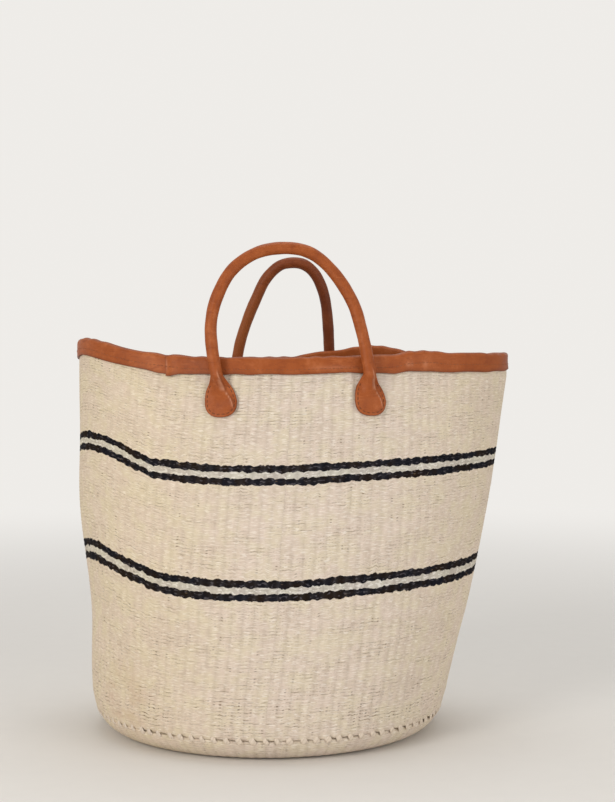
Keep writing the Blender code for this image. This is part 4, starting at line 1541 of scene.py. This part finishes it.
    def wear_and_highlight(self, run: np.ndarray, x: np.ndarray, side: float, share: float, whole: float) -> np.ndarray:
        """Give the rubbed wear and painted highlight of the lap's end, and the painted highlights on the front of the
        strip.

        Args:
            run: The lengths along the strip.
            x: The x positions there.
            side: The side of the section.
            share: The share of the strip's height.
            whole: The rim's length.

        Returns:
            The wear and painted highlights along the strip.
        """
        place, spread = self.lap_wear_and_highlight_place
        lap = self.lap_wear_and_highlight * bump(run, whole + self.lap_length + place, spread) * bump(share, 0.5, 0.25)
        painted_highlights = sum(strength * bump(x, centre, reach) for centre, reach, strength in self.painted_highlights)
        return lap * (side < 0) + painted_highlights * bump(share, *self.painted_highlight_share) * (side <= -1.0)

    def build(self) -> None:
        """Build the strip and its two lines of stitches."""
        _, whole = self.way_round(np.zeros(1))
        even = np.linspace(0.0, whole + self.lap_length, self.stations)
        fine = np.linspace(whole - self.ramp_length - 0.001, whole + 0.001, self.lap_stations)
        run = np.sort(np.concatenate((even, fine)))
        angles, _ = self.way_round(run)
        lift, thick = self.lift(run, whole), self.thickness(run, whole)
        x = FORM.outline(FORM.rim_height, angles)[:, 0]
        extra = np.interp(x, self.depth_places, self.extra_depths)
        extra = extra * mix(self.back_depth_share, 1.0, smooth(np.sin(angles), *self.front_half))
        half = FORM.wall_thickness / 2
        rings, tones, wear_and_highlight_parts = [], [], []
        for side, share, is_skin in self.section():
            out = half + FORM.clearance + lift + is_skin * (thick + self.unevenness(run, share))
            top = FORM.rim_height + lift * self.top_lift_share - self.skin + is_skin * thick
            bottom = FORM.rim_height - self.height - extra * (side < 0)
            level = bottom + (top - bottom) * share + self.raggedness(run, share, whole)
            place = SWAY.point(np.minimum(level, FORM.rim_height), angles, half + side * out)
            place[:, 2] += np.maximum(level - FORM.rim_height, 0.0)
            rings.append(place)
            tones.append(np.full(len(run), self.tone(side, share)))
            wear_and_highlight_parts.append(self.wear_and_highlight(run, x, side, share, whole))
        tone = np.stack(tones, 1)
        # Darker cut end of the lap: cut edge and painted shade.
        tone[-1] = self.cut_end_and_shade_tone
        place, spread = self.start_shadow_place
        shadow = 1 - self.start_shadow * bump(run, self.lap_length + place, spread)
        shadow = shadow * (1 - self.tip_shadow * smooth(x, x.max() - self.tip_shadow_reach, x.max()))
        draft = MeshDraft()
        draft.add_tube(np.stack(rings, 1), tone=tone * shadow[:, None], wear_and_highlight=np.stack(wear_and_highlight_parts, 1))
        draft.fit("leather_rim_binding", LEATHER, "rim_binding")
        for name, side in (("binding_thread_outer", -1), ("binding_thread_inner", 1)):
            self.build_stitches(name, side, whole)

    def build_stitches(self, name: str, side: int, whole: float) -> None:
        """Build one line of stitches along the strip's lower edge.

        Args:
            name: The CAD node that the line stands for.
            side: -1 outside the basket, 1 inside it.
            whole: The rim's length.
        """
        chance = np.random.default_rng(self.stitch_seed + side)
        share = np.linspace(0.0, 1.0, self.stitch_steps)
        size = self.stitch_radius * np.sqrt(1 - (2 * share - 1) ** 2 * 0.75)
        wander, count = self.stitch_wander
        draft = MeshDraft()
        for number in range(int(whole / self.stitch_pitch)):
            start = number * self.stitch_pitch + chance.uniform(-self.stitch_jitter, self.stitch_jitter)
            run = start + share * self.stitch_length * chance.uniform(*self.stitch_spread)
            angles, _ = self.way_round(run)
            out = (FORM.wall_thickness / 2 + FORM.clearance + self.surface(run, whole)
                   + self.unevenness(run, 0.2) + self.stitch_crown * np.sin(math.pi * share))
            inset = FORM.wall_thickness / 2 + side * out
            level = FORM.rim_height - self.height + self.stitch_inset + wander * np.sin(run * count)
            points = SWAY.point(level, angles, inset)
            normals = unit(points - SWAY.point(level, angles, inset - side * self.skin))
            draft.add_strand(points, normals, size, size, self.stitch_steps, number)
        draft.fit(f"sewn_{name}", THREAD, name)


@dataclass(frozen=True)
class RolledHandle:
    """One handle: a rope in rolled leather, whose ends flatten into the two sewn tabs.

    Each swell has its height, its count and its phase. A mark has its strength, its place and its
    spread, measured from the roll's seam or from the fold on a tab.
    """

    side: str
    is_front: bool
    centre: float
    span: float
    rise: float
    route_shares: tuple[Ends, ...]
    left_skew: float
    right_skew: float
    leather: LeatherFinish = LEATHER
    # Painted light on the left leg and painted shade on the right leg, with the shares along the handle where each
    # fades.
    left_leg_painted_light: float = 0.0
    left_leg_painted_light_shares: Ends = (0.20, 0.48)
    right_leg_painted_shade: float = 0.0
    right_leg_painted_shade_shares: Ends = (0.50, 0.75)
    radius: float = 0.00625
    lean: float = math.radians(10)
    neck_level: float = 0.3756
    route_steps: int = 24
    route_points: int = 241
    sides: int = 32
    collar: float = 0.0145
    overlap: float = 0.0020
    calm_length: float = 0.015
    swells: tuple[Triple, ...] = ((0.018, 74, 1), (0.014, 151, 2), (0.008, 380, 0))
    largest_swell: float = 0.03
    seam_turn: float = math.radians(-62)
    seam_sway: Ends = (0.25, 18)
    seam_groove: Triple = (0.085, 0.0, 0.13)
    seam_lip: Triple = (0.03, 0.32, 0.16)
    seam_shade: Triple = (0.45, 0.0, 0.10)
    rope_radius: float = 0.0043
    rope_lobe: float = 0.14
    rope_twist: float = 200
    rope_sides: int = 24
    tab_thickness: float = 0.0032
    tab_width: float = 0.033
    tab_drop: float = 0.0375
    tab_top: float = 0.0045
    tab_sides: int = 72
    tab_rings: tuple[int, int, int] = (18, 36, 26)
    last_turn: float = math.radians(88.3)
    standoff: float = 0.0006
    end_power: float = 2.5
    section_powers: Ends = (2.0, 4.5)
    width_shares: tuple[float, ...] = (0.0, 0.30, 0.68, 0.90, 1.0)
    flatten: Ends = (-0.006, 0.006)
    settle: Ends = (-0.002, 0.024)
    ridge_spread: Ends = (1.25, 0.85)
    face_ends: Ends = (0.0, 0.45)
    mark_ends: Ends = (0.05, 0.3)
    fold_places: tuple[float, ...] = (0.0024, 0.0034, 0.0056, 0.0108, 0.0134)
    fold_drops: Ends = (-0.010, 0.030)
    fold_fade: FourPlaces = (-0.010, -0.003, 0.024, 0.031)
    fold_lip: Triple = (0.0006, -0.0007, 0.0008)
    fold_step: float = 0.0009
    fold_step_ends: Ends = (-0.0001, 0.0011)
    # Painted shade in the step beside the fold, and a painted highlight along its lip.
    fold_shade: Triple = (0.28, 0.0008, 0.0008)
    fold_highlight: Triple = (0.75, -0.0007, 0.0006)
    lie: float = 0.00025
    lie_counts: Ends = (310, 240)
    lie_drops: Ends = (0.006, 0.014)
    edge_shade: float = 0.55
    edge_ends: Ends = (0.93, 1.0)
    edge_drops: Ends = (0.0, 0.008)
    grip: float = 0.06
    bend_below: float = 0.005
    bend_above: float = 0.013
    stitch_inset: float = 0.0026
    stitch_start: float = 0.0045
    stitch_pitch: float = 0.0048
    stitch_length: float = 0.0028
    stitch_radius: float = 0.00048
    stitch_depth: float = 0.00005
    stitch_tone: float = 0.55

    @property
    def reach(self) -> float:
        """The distance from the wall to the handle's axis at a neck."""
        return self.standoff + self.tab_thickness + FORM.clearance + self.radius

    @property
    def half_tab(self) -> float:
        """Half of the tab's width."""
        return self.tab_width / 2

    @property
    def tab_centre(self) -> float:
        """The drop at which the round end of the tab starts."""
        return self.tab_drop - self.half_tab

    @property
    def body(self) -> str:
        """The handle's body."""
        return f"{self.side}_handle"

    def tab_name(self, is_left: bool) -> str:
        """Give the name of a tab's node."""
        return f"{self.side}_{'left' if is_left else 'right'}_tab"

    def skew(self, is_left: bool, drop: Sizes) -> np.ndarray:
        """Give how far a tab is moved sideways at a drop below the neck."""
        return (self.left_skew if is_left else self.right_skew) * np.clip(drop / self.tab_centre, 0.0, 1.0)

    def neck(self, is_left: bool) -> tuple[np.ndarray, np.ndarray, np.ndarray, np.ndarray]:
        """Give the wall's point and the three directions at a neck.

        Args:
            is_left: Whether it is the left neck, seen from the front.

        Returns:
            The point, and the directions across, up and out from the wall.
        """
        x = self.centre + (-self.span if is_left else self.span) / 2
        angle = FORM.angle_at(self.neck_level, x, self.is_front)
        point = FORM.point(self.neck_level, angle)
        climb = unit(point - FORM.point(self.neck_level - self.tab_drop, angle))
        across = unit(np.cross(climb, np.append(FORM.outward(self.neck_level, angle), 0.0)))
        return point, across, climb, unit(np.cross(across, climb))

    def axis_point(self, is_left: bool) -> np.ndarray:
        """Give the handle's axis point at a neck."""
        point, _, _, outward = self.neck(is_left)
        return point + outward * self.reach

    def frame(self) -> tuple[np.ndarray, np.ndarray, np.ndarray]:
        """Give the middle of the hinge axis, its direction and the handle's upright."""
        left, right = self.axis_point(True), self.axis_point(False)
        axis = unit(right - left)
        inward = unit(np.cross(UP, axis) if self.is_front else np.cross(axis, UP))
        lean = UP * math.cos(self.lean) + inward * math.sin(self.lean)
        return (left + right) / 2, axis, unit(lean - axis * lean.dot(axis))

    def read_route(self, route: np.ndarray, run: Sizes) -> np.ndarray:
        """Give the points at lengths along a route."""
        runs = lengths(route)
        return np.stack([np.interp(run, runs, route[:, part]) for part in range(3)], -1)

    def route(self) -> np.ndarray:
        """Give the handle's middle line from its left neck to its right one, at even steps."""
        middle, axis, upright = self.frame()
        half = np.linalg.norm(self.axis_point(False) - self.axis_point(True)) / 2
        corners = [middle + axis * half * x + upright * self.rise * z for x, z in self.route_shares]
        count = (len(corners) - 1) * self.route_steps + 1
        fine = along(corners, np.linspace(0.0, 1.0, count), tail=0.0)
        return self.read_route(fine, np.linspace(0.0, lengths(fine)[-1], self.route_points))

    def build(self) -> None:
        """Build the cover, the rope, the tabs and their stitches."""
        route = self.route()
        self.build_cover(route)
        self.build_rope(route)
        for is_left in (True, False):
            self.build_tab(is_left, route if is_left else route[::-1])
            self.build_tab_stitches(is_left)

    def roll(self, route: np.ndarray, start: float, sides: int) -> tuple[np.ndarray, np.ndarray, np.ndarray]:
        """Give the part of the route between the tabs.

        Args:
            route: The handle's middle line.
            start: The length that is left out at each end.
            sides: The number of points round.

        Returns:
            The points, their lengths along the whole route, and rings of radius one round them.
        """
        runs = lengths(route)
        kept = (runs > start) & (runs < runs[-1] - start)
        _, axis, upright = self.frame()
        normals = np.broadcast_to(np.cross(axis, upright), route[kept].shape)
        return route[kept], runs[kept], strand_rings(route[kept], normals, 1.0, 1.0, sides)

    def build_cover(self, route: np.ndarray) -> None:
        """Build the rolled cover between the two tabs' collars."""
        start, whole = self.collar - self.overlap, lengths(route)[-1]
        points, run, rings = self.roll(route, start, self.sides)
        calm = plateau(run, start, start + self.calm_length, whole - start - self.calm_length, whole - start)
        swell = sum(height * np.sin(run * count + phase) for height, count, phase in self.swells)
        swell = 1 + np.minimum(swell, self.largest_swell) * calm
        sway, count = self.seam_sway
        off = wrapped(turns_round(self.sides) - self.seam_turn - sway * np.sin(run * count)[:, None])
        groove, lip, shade = (strength * bump(off, place, spread) * calm[:, None] for strength, place, spread in (
            self.seam_groove, self.seam_lip, self.seam_shade))
        size = self.radius * swell[:, None] * (1 - groove + lip)
        share = run / whole
        # Painted shade on the right leg and painted light on the left leg.
        right_leg_painted_shade = self.right_leg_painted_shade * smooth(share, *self.right_leg_painted_shade_shares) * calm
        wear_and_highlight = self.left_leg_painted_light * (1 - smooth(share, *self.left_leg_painted_light_shares)) * calm
        draft = MeshDraft()
        draft.add_tube(points[:, None] + (rings - points[:, None]) * size[..., None],
                       tone=(1 - shade) * (1 - right_leg_painted_shade)[:, None], wear_and_highlight=wear_and_highlight[:, None])
        draft.fit(f"rolled_{self.body}_cover", self.leather, f"{self.body}_cover", self.body)

    def build_rope(self, route: np.ndarray) -> None:
        """Build the three-strand rope inside the cover."""
        points, run, rings = self.roll(route, self.collar, self.rope_sides)
        turns = turns_round(self.rope_sides) - run[:, None] * self.rope_twist
        size = self.rope_radius * mix(1 - self.rope_lobe, 1.0, np.abs(np.cos(1.5 * turns)))
        draft = MeshDraft()
        draft.add_tube(points[:, None] + (rings - points[:, None]) * size[..., None])
        draft.fit(f"twisted_{self.body}_core", ROPE, f"{self.body}_core", self.body)

    def half_width(self, drop: Sizes) -> np.ndarray:
        """Give half of the tab's width at a drop below the neck."""
        share = (drop + self.tab_top) / (self.tab_centre + self.tab_top)
        neck = mix(self.radius, self.half_tab, along(self.width_shares, share))
        return np.where(drop > self.tab_centre, self.rounded(drop - self.tab_centre, self.half_tab), neck)

    def rounded(self, drop: Sizes, reach: float) -> np.ndarray:
        """Give half of the width of the tab's rounded lower end, or of a line inside it."""
        below = np.clip(drop / reach, 0.0, 1.0)
        return reach * np.maximum(1 - below ** self.end_power, 0.0) ** (1 / self.end_power)

    def fold_line(self, across: np.ndarray, drop: Sizes) -> tuple[np.ndarray, np.ndarray]:
        """Find the fold where the rolled edge ends on the tab.

        Args:
            across: The places across the tab.
            drop: The drops below the neck.

        Returns:
            The distance past the fold, and how strong the fold is there.
        """
        start, end = self.fold_drops
        flip = 1.0 if self.is_front else -1.0
        past = flip * across - along(self.fold_places, (drop - start) / (end - start))
        return past, plateau(drop, *self.fold_fade)

    def face(self, across: np.ndarray, drop: Sizes) -> np.ndarray:
        """Give the relief of the tab's face.

        Args:
            across: The places across the tab.
            drop: The drops below the neck.

        Returns:
            The height to add to the flat tab: the fold with the lip along it, the tab's soft lie,
            and the rope's end under the leather.
        """
        fold, fade = self.fold_line(across, drop)
        height, place, spread = self.fold_lip
        relief = height * bump(fold, place, spread) - self.fold_step * smooth(fold, *self.fold_step_ends)
        waves = np.sin(across * self.lie_counts[0] + 1) * np.sin(drop * self.lie_counts[1])
        relief = relief * fade + self.lie * waves * smooth(drop, *self.lie_drops)
        rolled, plate = self.reach + self.radius, self.standoff + self.tab_thickness
        flat, settle = smooth(drop, *self.flatten), smooth(drop, *self.settle)
        wide, narrow = self.ridge_spread
        spread = np.maximum(mix(self.radius * wide, self.half_width(drop) * narrow, settle), 1e-6)
        arch = np.cos(np.clip(across / spread, -1.0, 1.0) * math.pi / 2) ** 2
        return relief + np.maximum(mix(rolled, plate, settle) - mix(rolled, plate, flat), 0.0) * arch

    def tab_section(self, drop: float) -> tuple[np.ndarray, np.ndarray, np.ndarray, np.ndarray]:
        """Give the tab's section.

        Args:
            drop: The drop below the neck, less than zero on the rolled part above it.

        Returns:
            The places across, the heights off the wall, the tones with their painted shade, and the painted highlights.
        """
        flat = smooth(drop, *self.flatten)
        wide = self.half_width(drop)
        power = mix(*self.section_powers, flat)
        cosine, sine = np.cos(turns_round(self.tab_sides)), np.sin(turns_round(self.tab_sides))
        x = wide * squared(cosine, power)
        z = (mix(self.reach, self.standoff + self.tab_thickness / 2, flat)
             + mix(self.radius, self.tab_thickness / 2, flat) * squared(sine, power)
             + smooth(sine, *self.face_ends) * self.face(x, drop))
        edge = smooth(np.abs(x) / max(wide, 1e-6), *self.edge_ends) * smooth(drop, *self.edge_drops)
        fold, fade = self.fold_line(x, drop)
        # Painted shade in the fold's step and a painted highlight along its lip.
        shade, wear_and_highlight = (strength * smooth(sine, *self.mark_ends) * fade * bump(fold, place, spread)
                       for strength, place, spread in (self.fold_shade, self.fold_highlight))
        return x, z, (1 - self.edge_shade * edge) * (1 - shade), wear_and_highlight

    def build_tab(self, is_left: bool, route: np.ndarray) -> None:
        """Build one tab with the rolled collar above it.

        Args:
            is_left: Whether it is the left tab, seen from the front.
            route: The handle's middle line, from this tab's neck.
        """
        point, across, climb, outward = self.neck(is_left)
        above, below, end = self.tab_rings
        arc = self.tab_centre + self.half_tab * np.sin(np.linspace(0.0, self.last_turn, end))[1:]
        drops = np.concatenate((np.linspace(-self.collar, 0.0, above)[:-1],
                                np.linspace(0.0, self.tab_centre, below), arc))
        runs = lengths(route)
        rings, tones, wear_and_highlight_parts = [], [], []
        for drop in drops.tolist():
            x, z, tone, wear_and_highlight = self.tab_section(drop)
            origin, side, out = point - climb * drop, across, outward
            if drop < 0:
                index = min(int(np.searchsorted(runs, -drop)), len(route) - 2)
                way = unit(route[index + 1] - route[max(index - 1, 0)])
                way = unit(climb + (way - climb) * smooth(-drop, 0.0, 0.008))
                out = unit(outward - way * outward.dot(way))
                side = np.cross(way, out)
                grip = 1 - self.grip * smooth(-drop, self.collar - self.overlap, self.collar)
                origin, x, z = self.read_route(route, -drop), x * grip, (z - self.reach) * grip
            x = x + self.skew(is_left, drop)
            rings.append(origin + side * x[:, None] + out * z[:, None])
            tones.append(tone)
            wear_and_highlight_parts.append(wear_and_highlight)
        draft = MeshDraft()
        draft.add_tube(np.array(rings), tone=np.array(tones), wear_and_highlight=np.array(wear_and_highlight_parts))
        piece = draft.build(f"sewn_{self.tab_name(is_left)}", self.leather)
        _, _, upright = self.frame()
        hinge = self.axis_point(is_left)
        self.body
        tuple(hinge - upright * self.bend_below)
        tuple(hinge + upright * self.bend_above)
        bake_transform(piece)
        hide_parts(self.tab_name(is_left))

    def stitch_line(self) -> np.ndarray:
        """Give the line of a tab's stitches, down its left side and up its right one.

        Returns:
            The places across, and the drops below the neck.
        """
        reach = self.half_tab - self.stitch_inset
        arc = self.tab_centre + reach * np.sin(np.linspace(0, math.pi / 2, 24))[1:]
        drops = np.concatenate((np.linspace(self.stitch_start, self.tab_centre, 20), arc))
        side = np.where(drops > self.tab_centre, self.rounded(drops - self.tab_centre, reach),
                        self.half_width(drops) - self.stitch_inset)
        left = np.stack((-side, drops), -1)
        return np.concatenate((left, left[::-1][1:] * np.array((-1.0, 1.0))))

    def build_tab_stitches(self, is_left: bool) -> None:
        """Build the stitches round one tab."""
        point, across, climb, outward = self.neck(is_left)
        line = self.stitch_line()
        runs = lengths(line)
        count = int(runs[-1] / self.stitch_pitch)
        share = np.linspace(-1.0, 1.0, 7)
        size = self.stitch_radius * np.sqrt(1 - share ** 2 * 0.6)
        # Thread darker on the tabs, with painted shade at each stitch's ends where it sinks into the leather.
        tone = self.stitch_tone * (1 - np.abs(share[:, None]) ** 3)
        plate = self.standoff + self.tab_thickness - self.stitch_depth
        draft = MeshDraft()
        for number in range(count):
            run = (number + 0.5) * runs[-1] / count + share * self.stitch_length / 2
            x, drop = (np.interp(run, runs, line[:, part]) for part in range(2))
            height = plate + self.face(x, drop)
            x = x + self.skew(is_left, drop)
            points = point - climb * drop[:, None] + across * x[:, None] + outward * height[:, None]
            draft.add_strand(points, np.broadcast_to(outward, points.shape), size, size, 6, number, tone)
        name = f"{self.tab_name(is_left)}_stitching"
        draft.fit(f"sewn_{name}", THREAD, name)


FRONT_HANDLE = RolledHandle(
    side="front", is_front=True, centre=0.0273, span=0.1495, rise=0.1357, left_skew=0.0022, right_skew=0.0030,
    route_shares=((-1.0, 0.0), (-1.061, 0.214), (-1.074, 0.416), (-0.991, 0.617), (-0.786, 0.822),
                  (-0.45, 0.952), (-0.05, 0.984), (0.28, 0.934), (0.565, 0.781), (0.79, 0.565),
                  (0.895, 0.36), (0.96, 0.17), (1.0, 0.0)))
# The rear handle: painted shade in its leather, painted light on its left leg and painted shade on its right leg.
REAR_HANDLE = RolledHandle(
    side="rear", is_front=False, centre=0.0123, span=0.1071, rise=0.1255, left_skew=0.0, right_skew=0.0,
    leather=SHADED_LEATHER, left_leg_painted_light=0.50, right_leg_painted_shade=0.30,
    route_shares=((-1.0, 0.0), (-0.852, 0.28), (-0.653, 0.51), (-0.449, 0.695), (-0.231, 0.865),
                  (0.05, 0.978), (0.32, 1.006), (0.585, 0.982), (0.79, 0.896), (0.921, 0.765),
                  (0.989, 0.61), (1.009, 0.40), (1.004, 0.19), (1.0, 0.0)))


# Studio


@dataclass(frozen=True)
class SoftLamp:
    """One square soft lamp, aimed at the basket."""

    name: str
    place: Triple
    size: float
    power: float
    colour: Colour

    def build(self, aim: Triple) -> None:
        """Add the lamp and turn it to its aim."""
        data = bpy.data.lights.new(self.name, "AREA")
        data.size, data.energy, data.color = self.size, self.power, self.colour
        item = bpy.data.objects.new(self.name, data)
        item.location = self.place
        item.rotation_euler = (Vector(aim) - Vector(self.place)).to_track_quat("-Z", "Y").to_euler()
        bpy.context.scene.collection.objects.link(item)


@dataclass(frozen=True)
class Studio:
    """The plain floor, the light and the camera."""

    floor_reach: Ends = (0.3, 9.0)
    floor_rings: int = 12
    floor_sides: int = 96
    floor_drop: float = 0.0001
    floor_colour: Colour = (0.80, 0.78, 0.75)
    paler_share: float = 1.03
    speck: Grain = Grain(40.0, 3.0, 0.5)
    floor_roughness: float = 0.8
    floor_fade: Ends = (0.45, 2.2)
    backdrop: Colour = (0.86, 0.84, 0.81)
    backdrop_rays: tuple[str, ...] = ("Is Camera Ray", "Is Glossy Ray", "Is Transmission Ray")
    ambient: Colour = (1.0, 0.985, 0.96)
    ambient_strength: float = 0.42
    camera_place: Triple = (0.0416, -1.9121, 0.4478)
    camera_pitch: float = 0.0506
    focal_pixels: float = 1769.0
    frame_height: float = 802.0
    film_height: float = 36.0
    aim: Triple = (0.02, 0.0, 0.24)
    lamps: tuple[SoftLamp, ...] = (
        SoftLamp("key", (-1.60, -2.2, 1.15), 1.1, 31.6, (1.0, 0.97, 0.94)),
        SoftLamp("fill", (2.0, -1.85, 0.8), 1.6, 19.2, (1.0, 0.98, 0.95)),
        SoftLamp("top", (0.1, 0.4, 2.4), 1.6, 18.0, (1.0, 0.99, 0.97)),
    )

    def build(self) -> None:
        """Build the floor, the world, the lamps and the camera."""
        self.build_floor()
        self.build_world()
        for lamp in self.lamps:
            lamp.build(self.aim)
        self.build_camera()
        bpy.context.scene.view_settings.view_transform = "Standard"

    def add_backdrop(self, graph: Graph, shader: bpy.types.Node, glow: str, end: str,
                     share: Wire | float = 1.0) -> None:
        """Show the pale backdrop in place of a shader to rays that see the studio but don't light it.

        Args:
            graph: The node tree.
            shader: The shader that all other rays meet.
            glow: The type of the node that gives the backdrop's light.
            end: The name of the tree's output node.
            share: How much of the backdrop shows.
        """
        seen, *others = (graph.node("ShaderNodeLightPath", None, None, name) for name in self.backdrop_rays)
        for other in others:
            seen = seen.math("MAXIMUM", other)
        pale = graph.node(glow, None, {"Color": self.backdrop, "Strength": 1.0})
        blend = graph.node("ShaderNodeMixShader", None, {0: seen * share, 1: Wire(graph, shader.outputs[0]), 2: pale})
        graph.plug(graph.nodes[end].inputs["Surface"], blend)

    def build_floor(self) -> None:
        """Build the floor as a round sheet that fades into the backdrop."""
        graph = Graph(bpy.data.materials.new("pale_floor"))
        paler = tuple(part * self.paler_share for part in self.floor_colour)
        speck = graph.noise(graph.place(), self.speck)
        graph.finish(graph.colour(self.floor_colour, paler, speck), self.floor_roughness)
        far = graph.step(graph.vector("LENGTH", graph.place(), output="Value"), *self.floor_fade)
        self.add_backdrop(graph, graph.nodes["Principled BSDF"], "ShaderNodeEmission", "Material Output", far)
        rings, sides = self.floor_rings, self.floor_sides
        radii, turns = np.linspace(*self.floor_reach, rings)[:, None], turns_round(sides)
        height = np.full((rings, sides), -self.floor_drop)
        points = np.stack((radii * np.cos(turns), radii * np.sin(turns), height), -1)
        numbers = closed(np.arange(rings * sides).reshape(rings, sides))
        faces = cells(numbers)[..., ::-1].reshape(-1, 4).tolist() + [numbers[0, :-1].tolist()]
        mesh = bpy.data.meshes.new("floor")
        mesh.from_pydata(points.reshape(-1, 3).tolist(), [], faces)
        mesh.materials.append(graph.owner)
        floor = bpy.data.objects.new("floor", mesh)
        bpy.context.scene.collection.objects.link(floor)

    def build_world(self) -> None:
        """Set soft light from all round, and the pale backdrop."""
        world = bpy.data.worlds.new("studio")
        graph = Graph(world)
        light = graph.nodes["Background"]
        graph.plug(light.inputs["Color"], self.ambient)
        graph.plug(light.inputs["Strength"], self.ambient_strength)
        self.add_backdrop(graph, light, "ShaderNodeBackground", "World Output")
        bpy.context.scene.world = world

    def build_camera(self) -> None:
        """Set the camera at the photograph's viewing angle."""
        data = bpy.data.cameras.new("camera")
        data.sensor_fit = "VERTICAL"
        data.sensor_height = self.film_height
        data.lens = self.focal_pixels / self.frame_height * self.film_height
        camera = bpy.data.objects.new("camera", data)
        camera.location = self.camera_place
        camera.rotation_euler = (math.pi / 2 - self.camera_pitch, 0.0, 0.0)
        bpy.context.scene.collection.objects.link(camera)
        bpy.context.scene.camera = camera


def main() -> None:
    """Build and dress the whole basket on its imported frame."""
    logging.basicConfig(level=logging.INFO, format="%(name)s: %(message)s")
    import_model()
    for part in (Studio(), WovenWall(), WovenBase(), FootSeam(), LooseFibres(), RimBinding(), FRONT_HANDLE,
                 REAR_HANDLE):
        part.build()
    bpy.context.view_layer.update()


if __name__ == "__main__":
    main()
